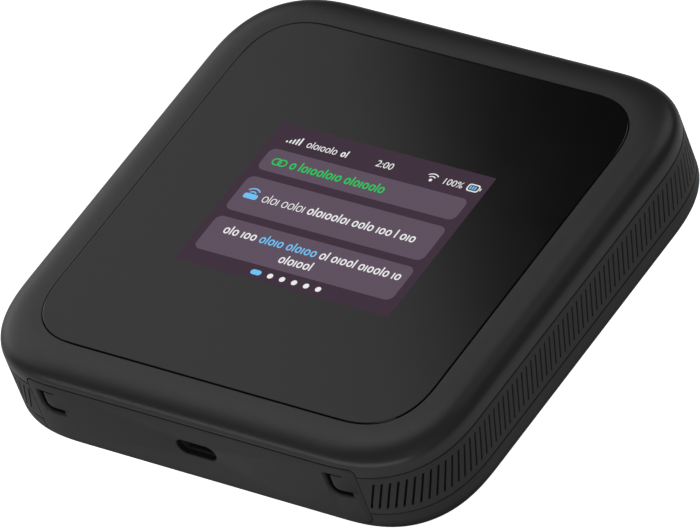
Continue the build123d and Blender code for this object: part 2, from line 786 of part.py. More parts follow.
with BuildPart() as battery_blades:
    blade_reach = battery_gap - touch_gap
    with Locations((0, bay_front + blade_reach / 2, floor_bottom - contact_block_height / 2)):
        with GridLocations(blade_pitch, 0, 4, 1):
            Box(blade_width, blade_reach, blade_height)
battery_blades.part.label = "battery_blades"
export_step(battery_blades.part, "parts/battery_blades.step")

# Power button, with a flange behind the band, and the switch that it works
button_face = half_depth - button_sink
flange_face = half_depth - band_thickness - touch_gap
switch_face = half_depth - board_inset
with BuildPart() as power_button:
    with BuildSketch(Plane.XZ.offset(-button_face)):
        with Locations((0, button_level)):
            SlotOverall(button_length, button_height)
    extrude(amount=button_face - flange_face)
    with BuildSketch(Plane.XZ.offset(-flange_face)):
        with Locations((0, button_level)):
            SlotOverall(button_length + 2 * button_lip, button_height + 2 * button_lip)
    extrude(amount=button_flange)
    with BuildSketch(Plane.XZ.offset(-flange_face + button_flange)):
        with Locations((0, button_level)):
            Circle(button_post_radius)
    extrude(amount=flange_face - button_flange - switch_face - plunger_reach)
    fillet(power_button.faces().sort_by(Axis.Y)[-1].edges(), button_edge)
power_button.part.label = "power_button"
export_step(power_button.part, "parts/power_button.step")

with BuildPart() as switch_plunger:
    with BuildSketch(Plane.XZ.offset(-switch_face - plunger_reach)):
        with Locations((0, button_level)):
            Circle(plunger_radius)
    extrude(amount=plunger_reach + plunger_depth)
switch_plunger.part.label = "switch_plunger"
export_step(switch_plunger.part, "parts/switch_plunger.step")

with BuildPart() as power_switch:
    box_between(
        (-switch_width / 2, switch_face - switch_depth, 2 * button_level - board_bottom),
        (switch_width / 2, switch_face, board_bottom),
    )
    with BuildSketch(Plane.XZ.offset(-switch_face)):
        with Locations((0, button_level)):
            Circle(plunger_radius + 2 * touch_gap)
    extrude(amount=plunger_well, mode=Mode.SUBTRACT)
power_switch.part.label = "power_switch"
export_step(power_switch.part, "parts/power_switch.step")

# Aerials, stuck to the inside of the frame's straight walls
aerial_ends = (aerial_split, half_depth - corner_reach - aerial_end_margin)
aerial_wall = half_width - frame_inside
aerials = {
    "aerial_left_front": (-1, -1),
    "aerial_left_rear": (-1, 1),
    "aerial_right_front": (1, -1),
    "aerial_right_rear": (1, 1),
}
for name, (side_x, side_y) in aerials.items():
    with BuildPart() as aerial:
        with Locations((
            side_x * (aerial_wall - aerial_thickness / 2),
            side_y * (aerial_ends[0] + aerial_ends[1]) / 2,
            (floor_top + board_bottom) / 2,
        )):
            Box(aerial_thickness, aerial_ends[1] - aerial_ends[0], aerial_height)
    aerial.part.label = name
    export_step(aerial.part, f"parts/{name}.step")

# Screws: four up through the frame into the bezel, and four that hold the board
with BuildPart() as housing_screws:
    with BuildSketch(Plane.XY.offset(screw_pocket_top)):
        with GridLocations(2 * boss_x, 2 * boss_y, 2, 2):
            Circle(screw_head_radius)
            RegularPolygon(screw_radius, 6, mode=Mode.SUBTRACT)
    extrude(amount=-screw_head_height)
    with BuildSketch(Plane.XY.offset(screw_pocket_top - screw_head_height / 2)):
        with GridLocations(2 * boss_x, 2 * boss_y, 2, 2):
            Circle(screw_radius)
    extrude(amount=ledge_top - 2 * screw_end_cover - screw_pocket_top + screw_head_height / 2)
housing_screws.part.label = "housing_screws"
export_step(housing_screws.part, "parts/housing_screws.step")

with BuildPart() as board_screws:
    with BuildSketch(Plane.XY.offset(board_top)):
        with GridLocations(2 * board_screw_x, 2 * board_screw_y, 2, 2):
            Circle(screw_head_radius)
            RegularPolygon(screw_radius, 6, mode=Mode.SUBTRACT)
    extrude(amount=screw_head_height)
    with BuildSketch(Plane.XY.offset(board_top + screw_head_height / 2)):
        with GridLocations(2 * board_screw_x, 2 * board_screw_y, 2, 2):
            Circle(screw_radius)
    extrude(amount=-screw_head_height / 2 - board_thickness - board_screw_depth)
board_screws.part.label = "board_screws"
export_step(board_screws.part, "parts/board_screws.step")
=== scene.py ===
import json
import math

import bmesh
import bpy
from mathutils import Matrix, Vector
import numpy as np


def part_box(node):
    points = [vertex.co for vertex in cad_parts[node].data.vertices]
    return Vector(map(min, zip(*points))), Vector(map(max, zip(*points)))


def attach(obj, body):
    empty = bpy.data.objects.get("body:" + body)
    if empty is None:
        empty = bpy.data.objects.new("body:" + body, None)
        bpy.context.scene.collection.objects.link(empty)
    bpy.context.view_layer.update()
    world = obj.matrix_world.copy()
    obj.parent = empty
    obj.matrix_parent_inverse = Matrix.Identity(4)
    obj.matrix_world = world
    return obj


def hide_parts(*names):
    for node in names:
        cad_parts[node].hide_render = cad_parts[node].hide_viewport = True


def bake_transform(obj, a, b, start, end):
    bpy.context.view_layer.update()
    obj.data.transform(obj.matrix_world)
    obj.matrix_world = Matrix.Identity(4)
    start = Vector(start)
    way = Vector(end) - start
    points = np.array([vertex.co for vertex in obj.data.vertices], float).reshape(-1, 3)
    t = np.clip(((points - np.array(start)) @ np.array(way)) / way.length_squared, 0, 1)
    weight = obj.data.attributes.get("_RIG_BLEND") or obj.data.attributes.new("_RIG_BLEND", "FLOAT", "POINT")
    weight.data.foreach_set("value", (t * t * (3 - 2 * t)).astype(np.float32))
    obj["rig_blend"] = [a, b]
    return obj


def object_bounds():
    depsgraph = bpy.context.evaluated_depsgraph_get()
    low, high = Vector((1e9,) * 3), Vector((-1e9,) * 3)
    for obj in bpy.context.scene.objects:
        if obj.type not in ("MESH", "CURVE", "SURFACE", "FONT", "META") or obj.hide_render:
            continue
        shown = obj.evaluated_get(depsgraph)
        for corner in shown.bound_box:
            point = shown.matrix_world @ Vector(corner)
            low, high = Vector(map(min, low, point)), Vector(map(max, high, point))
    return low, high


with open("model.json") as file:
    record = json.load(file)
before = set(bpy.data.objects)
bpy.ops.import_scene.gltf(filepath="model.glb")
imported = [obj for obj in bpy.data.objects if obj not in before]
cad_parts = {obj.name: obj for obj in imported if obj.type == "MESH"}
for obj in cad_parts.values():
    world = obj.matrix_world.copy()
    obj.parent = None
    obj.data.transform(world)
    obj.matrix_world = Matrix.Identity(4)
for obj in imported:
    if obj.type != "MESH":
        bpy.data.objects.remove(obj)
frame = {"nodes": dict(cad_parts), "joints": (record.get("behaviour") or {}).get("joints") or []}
cadLow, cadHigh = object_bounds()
nodes = frame["nodes"]
mm = 0.001
tiny = 0.001 * mm
through = 3 * mm  # how deep a cutter goes into the outer walls
print("frame loaded")


# shader helpers
class Wire:
    # one output socket, so that shader maths reads as plain expressions
    def __init__(self, look, socket):
        self.look = look
        self.socket = socket

    def maths(self, operation, *values):
        return self.look.node("ShaderNodeMath", {"operation": operation}, dict(enumerate(values)))

    def __add__(self, other):
        return self.maths("ADD", self, other)

    def __radd__(self, other):
        return self.maths("ADD", other, self)

    def __sub__(self, other):
        return self.maths("SUBTRACT", self, other)

    def __rsub__(self, other):
        return self.maths("SUBTRACT", other, self)

    def __mul__(self, other):
        return self.maths("MULTIPLY", self, other)

    def __rmul__(self, other):
        return self.maths("MULTIPLY", other, self)

    def __lt__(self, other):
        return self.maths("LESS_THAN", self, other)

    def __gt__(self, other):
        return self.maths("GREATER_THAN", self, other)

    def __abs__(self):
        return self.maths("ABSOLUTE", self)

    def wave(self, other):
        # goes up and down between 0 and other
        return self.maths("PINGPONG", self, other)


class Look:
    # one material, or the world, being wired up
    def __init__(self, name, world=False):
        self.owner = (bpy.data.worlds if world else bpy.data.materials).new(name)
        self.owner.use_nodes = True
        self.tree = self.owner.node_tree
        self.tree.nodes.clear()
        self.place = self.node("ShaderNodeTexCoord", output="Generated" if world else "Object")

    def node(self, kind, settings=None, values=None, output=0):
        made = self.tree.nodes.new(kind)
        for key, value in (settings or {}).items():
            if key == "stops":
                setStops(made.color_ramp, value)
            else:
                setattr(made, key, value)
        for key, value in (values or {}).items():
            if isinstance(value, Wire):
                self.tree.links.new(value.socket, made.inputs[key])
            else:
                made.inputs[key].default_value = value
        return Wire(self, made.outputs[output]) if made.outputs else made

    def grain(self, size, detail=3.0, stretch=(1, 1, 1)):
        # soft noise whose blotches are about size metres across
        spot = self.node("ShaderNodeMapping", values={"Vector": self.place, "Scale": stretch})
        values = {"Vector": spot, "Scale": 1 / size, "Detail": detail, "Roughness": 0.55}
        return self.node("ShaderNodeTexNoise", values=values)

    def cells(self, size):
        # distance from the middle of the nearest of many random spots
        values = {"Vector": self.place, "Scale": 1 / size}
        return self.node("ShaderNodeTexVoronoi", values=values, output="Distance")

    def axis(self, letter):
        return self.node("ShaderNodeSeparateXYZ", values={"Vector": self.place}, output=letter)

    def blend(self, factor, low, high):
        # 6 and 7 are the mixer's two colours, and 2 is the mixed one
        mixer = {"data_type": "RGBA"}
        return self.node("ShaderNodeMix", mixer, {"Factor": factor, 6: low, 7: high}, 2)

    def bump(self, height, depth, strength=1.0):
        values = {"Height": height, "Distance": depth, "Strength": strength}
        return self.node("ShaderNodeBump", values=values)

    def finish(self, values):
        shader = self.node("ShaderNodeBsdfPrincipled", values=values)
        self.node("ShaderNodeOutputMaterial", values={"Surface": shader})
        return self.owner


def setStops(ramp, stops):
    while len(ramp.elements) < len(stops):
        ramp.elements.new(0.5)
    for element, (position, colour) in zip(ramp.elements, stops):
        element.position = position
        element.color = colour


def grey(value, tint=0.0):
    return (value, value, value * (1 + tint), 1)


# finishes
plastic = {
    "flow": 22 * mm, "cloud": 4 * mm, "spread": 0.1, "cloudRough": 0.08, "grainRough": 0.05,
    # the tone of the painted shade deep in openings and grooves, and the roughness added there
    "satinGrain": (0.14 * mm, 0.006 * mm), "paintedShadeTone": 0.0015, "dullRough": 0.5,
}


def mouldedPlastic(name, tone, rough, grain, specular=0.5, tint=0.03, dullAndShaded=None):
    # spark-eroded grain of a given size and depth, faint flow marks and handling shine, and on request
    # painted shade that darkens the colour deep in openings
    p = plastic
    look = Look(name)
    flow = look.grain(p["flow"], 2.0)
    fine = look.grain(grain[0])
    cloudy = look.grain(p["cloud"], 4.0)
    colour = look.blend(flow, grey(tone * (1 - p["spread"]), tint), grey(tone * (1 + p["spread"]), tint))
    middle = (p["cloudRough"] + p["grainRough"]) / 2
    roughness = cloudy * p["cloudRough"] + fine * p["grainRough"] + (rough - middle)
    if dullAndShaded:
        # painted shade: the colour darkens to near black with depth inside the openings and grooves, and the
        # roughness rises there as well
        inward = look.node("ShaderNodeAttribute", {"attribute_name": "inward"}, output="Fac")
        reach = {"Value": inward, "From Min": dullAndShaded["dullShadeFrom"], "From Max": dullAndShaded["dullShadeFull"]}
        deep = look.node("ShaderNodeMapRange", values=reach)
        colour = look.blend(deep, colour, grey(p["paintedShadeTone"]))
        roughness = roughness + deep * p["dullRough"]
    return look.finish({
        "Base Color": colour,
        "Roughness": roughness,
        "Specular IOR Level": specular,
        "Normal": look.bump(fine, grain[1]),
    })


def dimmed(colour, share):
    return tuple(part * share for part in colour[:3]) + (1,)


def sheetMetal(name, colour, rough, drawn=(1, 1, 14)):
    # rolled or drawn metal with fine lines along one way and a little tarnish
    look = Look(name)
    lines = look.grain(0.5 * mm, 2.0, drawn)
    spots = look.grain(3 * mm)
    return look.finish({
        "Base Color": look.blend(spots, dimmed(colour, 0.85), colour),
        "Metallic": 1.0,
        "Roughness": lines * 0.16 + spots * 0.08 + (rough - 0.12),
        "Normal": look.bump(lines, 0.004 * mm),
    })


def lensGlass():
    # black-printed cover glass: gloss with a faint haze of handling
    look = Look("lensGlass")
    haze = look.grain(9 * mm)
    speck = look.grain(0.6 * mm, 2.0)
    return look.finish({
        "Base Color": look.blend(haze, grey(0.0016), grey(0.0024)),
        "Roughness": haze * 0.03 + speck * 0.01 + lensSizes["roughness"],
    })


def litScreen(name, colour):
    # lit display area, with the panel's fine row pattern in its brightness
    look = Look(name)
    rows = (look.axis("Y") * (1 / screenSizes["rowPitch"])).wave(0.5)
    return look.finish({
        "Base Color": grey(0.002),
        "Emission Color": look.blend(rows * 2, dimmed(colour, screenSizes["rowDim"]), colour + (1,)),
        "Emission Strength": 1.0,
        "Roughness": 0.35,
        "Specular IOR Level": 0.0,
    })


def boardMask(name):
    # solder mask over copper: routed tracks, plated holes and a dark weave
    trackPitch, holePitch, holeShare = 1.6 * mm, 2.4 * mm, 0.11
    look = Look(name)
    track = look.node(
        "ShaderNodeTexBrick", {"offset": 0.37, "squash": 0.6},
        {"Vector": look.place, "Color1": grey(1), "Color2": grey(0.7), "Mortar": grey(0),
         "Scale": 1 / trackPitch, "Mortar Size": 0.02, "Row Height": 0.12, "Brick Width": 1.7},
    )
    holes = look.cells(holePitch) < holeShare
    weave = look.grain(0.3 * mm, 2.0)
    mask = look.blend(track, (0.004, 0.035, 0.018, 1), (0.008, 0.07, 0.034, 1))
    return look.finish({
        "Base Color": look.blend(holes, mask, (0.72, 0.55, 0.22, 1)),
        "Metallic": holes,
        "Roughness": weave * 0.1 + 0.3,
        "Normal": look.bump(track, 0.02 * mm),
    })


def shieldTin(name):
    # tinned can: dimples in a regular grid, with painted shade in them, and fine rolling lines
    pitch, dimpleShare = 2.4 * mm, 0.028
    look = Look(name)
    across = (look.axis("X") * (1 / pitch)).wave(0.5)
    along = (look.axis("Y") * (1 / pitch)).wave(0.5)
    dimple = (across * across + along * along) < dimpleShare
    lines = look.grain(0.4 * mm, 2.0, (1, 12, 1))
    return look.finish({
        # painted shade: the dimples get a near-black colour
        "Base Color": look.blend(dimple, (0.62, 0.62, 0.6, 1), (0.05, 0.05, 0.05, 1)),
        "Metallic": 1.0,
        "Roughness": lines * 0.15 + 0.28,
        "Normal": look.bump(lines - dimple, 0.02 * mm),
    })


def chipEpoxy(name):
    look = Look(name)
    speck = look.cells(0.18 * mm)
    cloudy = look.grain(1.5 * mm)
    return look.finish({
        "Base Color": look.blend(speck, grey(0.035), grey(0.018)),
        "Roughness": cloudy * 0.15 + 0.45,
        "Normal": look.bump(speck, 0.006 * mm),
    })


wrapSizes = {
    "stripes": ((5 * mm, 6.2 * mm), (7 * mm, 7.5 * mm)), "fieldStart": 9 * mm, "fieldEnd": 6 * mm,
    "fieldSide": 4 * mm, "crease": 7 * mm,
}


def batteryWrap(name):
    # printed film round a foil cell: two stripes at one end and a lighter field
    s = wrapSizes
    look = Look(name)
    low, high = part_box("battery_pack")
    x, y = look.axis("X"), look.axis("Y")
    fromEnd = high.y - y
    stripe = 0
    for first, last in s["stripes"]:
        stripe = stripe + (fromEnd > first) - (fromEnd > last)
    field = (abs(x) < high.x - s["fieldSide"]) * (fromEnd > s["fieldStart"]) * (y > low.y + s["fieldEnd"])
    crease = look.grain(s["crease"], 5.0)
    paper = look.blend(field, grey(0.035), grey(0.055))
    return look.finish({
        "Base Color": look.blend(stripe, paper, (0.5, 0.5, 0.5, 1)),
        "Roughness": crease * 0.2 + 0.32,
        "Normal": look.bump(crease, 0.06 * mm, 0.6),
    })


def flexFilm(name):
    # amber film over parallel copper tracks
    trackPitch = 0.8 * mm
    look = Look(name)
    tracks = (look.axis("X") * (1 / trackPitch)).wave(0.5) > 0.25
    film = look.grain(1.2 * mm)
    return look.finish({
        "Base Color": look.blend(tracks, (0.32, 0.12, 0.012, 1), (0.52, 0.23, 0.04, 1)),
        "Roughness": film * 0.12 + 0.25,
        "Normal": look.bump(tracks, 0.02 * mm),
    })


def aerialFoil(name):
    # copper on film, cut into a meander
    barPitch = 2.6 * mm
    look = Look(name)
    bars = (look.axis("Y") * (1 / barPitch)).wave(0.5) > 0.14
    stain = look.grain(2 * mm)
    copper = look.blend(stain, (0.5, 0.24, 0.12, 1), (0.66, 0.36, 0.2, 1))
    return look.finish({
        "Base Color": look.blend(bars, (0.03, 0.03, 0.03, 1), copper),
        "Metallic": bars,
        "Roughness": stain * 0.2 + 0.25,
    })


buttonMark = {
    "radius": 0.8 * mm, "stroke": 0.11 * mm, "gap": 0.3 * mm, "barTop": 0.95 * mm, "depth": 0.3 * mm,
}


def buttonCap(name):
    # satin cap with the usual on-off mark, a broken ring and a bar, moulded in
    s = buttonMark
    look = Look(name)
    low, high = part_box("power_button")
    x = look.axis("X")
    up = look.axis("Z") - (low.z + high.z) / 2
    square = x * x + up * up
    radius = square.maths("SQRT", square)
    ring = abs(radius - s["radius"]) < s["stroke"]
    gap = (abs(x) < s["gap"]) * (up > 0)
    bar = (abs(x) < s["stroke"]) * (up > 0) * (up < s["barTop"])
    front = look.axis("Y") > high.y - s["depth"]
    mark = (ring * (1 - gap) + bar) * front
    fine = look.grain(0.12 * mm)
    return look.finish({
        "Base Color": look.blend(mark, grey(0.026), grey(0.32)),
        "Roughness": fine * 0.08 + 0.38,
        "Normal": look.bump(fine - mark, 0.01 * mm),
    })


# outline of the body
outline = {"cornerReach": 22.9 * mm, "fullness": 0.697, "cornerSteps": 30, "sideSteps": 6}
half = cadHigh.x


def curveAt(t, handles):
    # a smooth curve from the first handle to the last, pulled by those between
    degree = len(handles) - 1
    total = 0.0
    for i, handle in enumerate(handles):
        total += math.comb(degree, i) * (1 - t) ** (degree - i) * t**i * handle
    return total


nearSide, farSide = 6.5, 2.5  # the middles of the -Y and +Y sides, counted as below


def outlinePoint(along, inset, height):
    # along counts sides and corners: 0 to 1 is the +X side, 1 to 2 the corner after it, and so on
    side = int(along // 2)
    step = along % 2
    fullness = outline["fullness"]
    start = half - outline["cornerReach"]
    reach = outline["cornerReach"] - inset
    if step < 1:
        x = half - inset
        y = start * (2 * step - 1)
    else:
        x = start + reach * curveAt(step - 1, (1, 1, 1, fullness, fullness / 2, 0))
        y = start + reach * curveAt(step - 1, (0, fullness / 2, fullness, 1, 1, 1))
    for _ in range(side % 4):
        x, y = -y, x
    return Vector((x, y, height))


def stationList():
    stations = []
    for side in range(4):
        for i in range(outline["sideSteps"]):
            stations.append(2 * side + i / outline["sideSteps"])
        for i in range(outline["cornerSteps"]):
            stations.append(2 * side + 1 + i / outline["cornerSteps"])
    return stations


def lengthTable(steps=4000):
    # distances round the outline against along, for even spacing
    table = [(0.0, 0.0)]
    last = outlinePoint(0, 0, 0)
    for i in range(1, steps + 1):
        along = 8 * i / steps
        spot = outlinePoint(along if i < steps else 0, 0, 0)
        table.append((table[-1][0] + (spot - last).length, along))
        last = spot
    return table


lengths = lengthTable()
roundLength = lengths[-1][0]


def alongAt(distance):
    distance = distance % roundLength
    low, high = 0, len(lengths) - 1
    while high - low > 1:
        middle = (low + high) // 2
        if lengths[middle][0] <= distance:
            low = middle
        else:
            high = middle
    share = (distance - lengths[low][0]) / (lengths[high][0] - lengths[low][0])
    return lengths[low][1] + share * (lengths[high][1] - lengths[low][1])


def distanceAt(along):
    # the nearest entry is close enough, because the table is fine
    return lengths[round(along / 8 * (len(lengths) - 1))][0]


def retreatAt(x):
    # how far the -Y side has curved back at x
    past = (abs(x) - half + outline["cornerReach"]) / outline["cornerReach"]
    if past <= 0:
        return 0.0
    fullness = outline["fullness"]
    across = (0, fullness / 2, fullness, 1, 1, 1)
    low, high = 0.0, 1.0
    for _ in range(30):
        middle = (low + high) / 2
        if curveAt(middle, across) < past:
            low = middle
        else:
            high = middle
    return outline["cornerReach"] * (1 - curveAt(low, across[::-1]))


# modelling helpers
def addObject(name, data):
    made = bpy.data.objects.new(name, data)
    bpy.context.scene.collection.objects.link(made)
    return made


def deselectAll():
    for other in list(bpy.context.selected_objects):
        other.select_set(False)


def makeActive(piece):
    deselectAll()
    piece.select_set(True)
    bpy.context.view_layer.objects.active = piece


def editBegin(piece):
    makeActive(piece)
    bpy.ops.object.mode_set(mode="EDIT")
    bpy.ops.mesh.select_all(action="DESELECT")


def editEnd():
    bpy.ops.object.mode_set(mode="OBJECT")


def openMesh():
    return bmesh.from_edit_mesh(bpy.context.edit_object.data)


def pick(kind, test):
    # selects the faces or edges that pass the test, and nothing else
    bpy.ops.mesh.select_mode(type=kind)
    bpy.ops.mesh.select_all(action="DESELECT")
    mesh = openMesh()
    for part in mesh.faces if kind == "FACE" else mesh.edges:
        if test(part):
            part.select_set(True)
    mesh.select_flush_mode()
    bmesh.update_edit_mesh(bpy.context.edit_object.data)


def fixNormals():
    bpy.ops.mesh.select_all(action="SELECT")
    bpy.ops.mesh.remove_doubles(threshold=0.0004 * mm)
    bpy.ops.mesh.normals_make_consistent(inside=False)


def middleOf(edge):
    return (edge.verts[0].co + edge.verts[1].co) / 2


def allNear(edge, axis, value, reach=10 * tiny):
    # both ends of the edge lie within reach of a value on an axis
    return all(abs(vert.co[axis] - value) < reach for vert in edge.verts)


def runsAlongY(edge):
    way = edge.verts[1].co - edge.verts[0].co
    return abs(way.y) > 0.999 * way.length


def box(name, low, high):
    deselectAll()
    low, high = Vector(low), Vector(high)
    bpy.ops.mesh.primitive_cube_add(size=1, location=(low + high) / 2)
    piece = bpy.context.object
    piece.name = name
    piece.scale = high - low
    bpy.ops.object.transform_apply(location=True, rotation=True, scale=True)
    return piece


def roundEdges(test, radius, segments=8):
    pick("EDGE", test)
    bpy.ops.mesh.bevel(offset=radius, segments=segments, affect="EDGES", profile=0.5)


def roundPin(radius, depth, middle, turn=0):
    # stands along Z, or turned about X
    deselectAll()
    bpy.ops.mesh.primitive_cylinder_add(
        vertices=40, radius=radius, depth=depth, location=middle, rotation=(turn, 0, 0),
    )
    bpy.ops.object.transform_apply(location=True, rotation=True)
    return bpy.context.object


def slotBox(name, low, high):
    # a box whose section across Y is a slot with round ends
    piece = box(name, low, high)
    editBegin(piece)
    height = high[2] - low[2]
    roundEdges(runsAlongY, height / 2 * 0.9999, 12)
    fixNormals()
    editEnd()
    return piece


def cutAway(piece, cutter):
    cut = piece.modifiers.new("cut", "BOOLEAN")
    cut.operation = "DIFFERENCE"
    cut.solver = "EXACT"
    cut.object = cutter
    makeActive(piece)
    bpy.ops.object.modifier_apply(modifier=cut.name)
    bpy.data.objects.remove(cutter)


def joinTo(piece, others):
    makeActive(piece)
    for other in others:
        other.select_set(True)
    bpy.ops.object.join()


def sliceAcross(places):
    # cuts the open mesh across X, so that it can bend
    for x in places:
        bpy.ops.mesh.select_all(action="SELECT")
        bpy.ops.mesh.bisect(plane_co=(x, 0, 0), plane_no=(1, 0, 0))


def layRing(inset, height):
    mesh = openMesh()
    along = mesh.verts.layers.float["along"]
    for vert in mesh.verts:
        if vert.select:
            vert.co = outlinePoint(vert[along], inset, height)


def ringShell(name, rings, ending):
    # a circle laid on the outline and extruded from ring to ring
    # ending: "loop" joins the last ring to the first, "caps" fills both
    stations = stationList()
    deselectAll()
    bpy.ops.mesh.primitive_circle_add(vertices=len(stations), radius=half)
    piece = bpy.context.object
    piece.name = name
    piece.data.attributes.new("along", "FLOAT", "POINT")
    piece.data.attributes["along"].data.foreach_set("value", stations)
    bpy.ops.object.mode_set(mode="EDIT")
    bpy.ops.mesh.select_mode(type="EDGE")
    bpy.ops.mesh.select_all(action="SELECT")
    layRing(*rings[0])
    if ending == "caps":
        bpy.ops.mesh.edge_face_add()
        bpy.ops.mesh.select_all(action="SELECT")
    for ring in rings[1:]:
        bpy.ops.mesh.extrude_edges_indiv()
        layRing(*ring)
    if ending == "loop":
        bpy.ops.mesh.extrude_edges_indiv()
        layRing(*rings[0])
    else:
        bpy.ops.mesh.edge_face_add()
    fixNormals()
    editEnd()
    piece.data.attributes.remove(piece.data.attributes["along"])
    return piece


def place(piece, look, body, slot, *replaced, angle=32, blend=None):
    # finish and body of a new piece, and hiding of the frame parts it replaces
    piece.data.materials.clear()
    piece.data.materials.append(look)
    makeActive(piece)
    bpy.ops.object.shade_smooth_by_angle(angle=math.radians(angle))
    if blend is None:
        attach(piece, body)
    else:
        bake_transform(piece, "housing", body, start=blend[0], end=blend[1])
    if replaced:
        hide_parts(*replaced)
    return piece


# places read from the frame
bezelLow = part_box("front_bezel")[0]
lensLow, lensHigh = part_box("display_lens")
bandLow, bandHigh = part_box("ribbed_band")
panelLow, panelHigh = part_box("port_panel")
buttonLow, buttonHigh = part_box("power_button")
seam = bezelLow.z - bandHigh.z


# front bezel
bezelSizes = {
    "crownHeight": 4.25 * mm, "crownInset": 8.35 * mm, "exponent": 2.85, "crownEnd": 84.0,
    "crownSteps": 22, "lipRound": 0.1 * mm, "edge": 0.1 * mm, "ledge": 2.1 * mm,
    "ledgeDepth": 1.4 * mm, "roof": 2.3 * mm, "wall": 1.5 * mm, "hollow": 3.3 * mm,
    "grooveTop": 1.7 * mm, "notchRound": 1.35 * mm, "notchPast": 0.4 * mm, "lift": 0.05 * mm,
    "drop": 0.1 * mm, "bossRadius": 2.5 * mm, "bossPlace": 40.5 * mm, "bossSink": 0.05 * mm,
    "bossEdge": 0.15 * mm,
}


def buildBezel(look):
    s = bezelSizes
    wallTop = cadHigh.z - s["drop"] - s["crownHeight"]
    power = 2 / s["exponent"]
    low = bezelLow.z + s["lift"]
    rings = [(s["edge"], low), (0, low + s["edge"]), (0, wallTop)]
    for i in range(1, s["crownSteps"] + 1):
        angle = math.radians(s["crownEnd"] * i / s["crownSteps"])
        inset = s["crownInset"] * (1 - math.cos(angle) ** power)
        rings.append((inset, wallTop + s["crownHeight"] * math.sin(angle) ** power))
    ringTop = rings[-1][1]
    lip = s["crownInset"]
    ledgeTop = cadHigh.z - s["ledgeDepth"]
    roofBottom = cadHigh.z - s["roof"]
    grooveTop = bezelLow.z - seam / 2 + s["grooveTop"]
    rings += [
        (lip - s["lipRound"], ringTop), (lip, ringTop - s["lipRound"]), (lip, ledgeTop),
        (lip + s["ledge"], ledgeTop), (lip + s["ledge"], roofBottom), (s["hollow"], roofBottom),
        (s["hollow"], grooveTop), (s["wall"], grooveTop), (s["wall"], low),
    ]
    bezel = ringShell("bezelShell", rings, "loop")
    # the port panel reaches up into the bezel
    notchTop = panelHigh.z + seam + 2 * s["lift"]
    notchHalf = panelHigh.x + seam + s["lift"]
    cutter = box(
        "notch", (-notchHalf, -half - mm, bezelLow.z - mm),
        (notchHalf, -half + s["hollow"] + s["notchPast"], notchTop),
    )
    editBegin(cutter)
    roundEdges(lambda edge: runsAlongY(edge) and allNear(edge, 2, notchTop), s["notchRound"])
    editEnd()
    cutAway(bezel, cutter)
    # a boss over each corner of the display bracket
    bosses = []
    bossLow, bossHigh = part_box("display_bracket")[1].z, roofBottom + s["bossSink"]
    for x in (-s["bossPlace"], s["bossPlace"]):
        for y in (-s["bossPlace"], s["bossPlace"]):
            boss = roundPin(s["bossRadius"], bossHigh - bossLow, (x, y, (bossLow + bossHigh) / 2))
            editBegin(boss)
            roundEdges(lambda edge: allNear(edge, 2, bossLow), s["bossEdge"], 2)
            editEnd()
            bosses.append(boss)
    joinTo(bezel, bosses)
    return place(bezel, look, "housing", "bezel_plastic", "front_bezel", angle=40)


# display lens
lensSizes = {
    "topDrop": 0.03 * mm, "bevel": 0.16 * mm, "lowBevel": 0.08 * mm,
    "support": 0.05 * mm, "roughness": 0.1,
}


def buildLens(look):
    s = lensSizes
    inset = half - lensHigh.x
    top = lensHigh.z - s["topDrop"]
    rings = [
        (inset + s["lowBevel"], lensLow.z),
        (inset, lensLow.z + s["lowBevel"]),
        (inset, top - s["bevel"]),
        (inset + 0.3 * s["bevel"], top - 0.3 * s["bevel"]),
        (inset + s["bevel"], top),
        (inset + s["bevel"] + s["support"], top),
    ]
    lens = ringShell("coverGlass", rings, "caps")
    return place(lens, look, "housing", "lens_glass", "display_lens", angle=15)


# ribbed band
bandSizes = {
    "pitch": 1.59 * mm, "groove": 0.46 * mm, "grooveLow": 8.24 * mm, "grooveHigh": 14.7 * mm,
    "lean": 0.36, "slope": 0.05 * mm, "depthTop": 0.55 * mm, "depthLow": 0.62 * mm,
    "pocket": 0.95 * mm, "pocketHeight": 0.4 * mm, "thickness": 1.4 * mm, "edge": 0.12 * mm,
    "rowSteps": 3, "buttonClear": 10.5 * mm, "buttonFlange": 0.8 * mm, "buttonGap": 0.15 * mm,
    # how deep the painted shade in the grooves starts and is full; the roughness rises there too
    "endLand": 0.35 * mm, "cut": 0.15 * mm, "dullShadeFrom": 0.44 * mm, "dullShadeFull": 0.55 * mm,
}


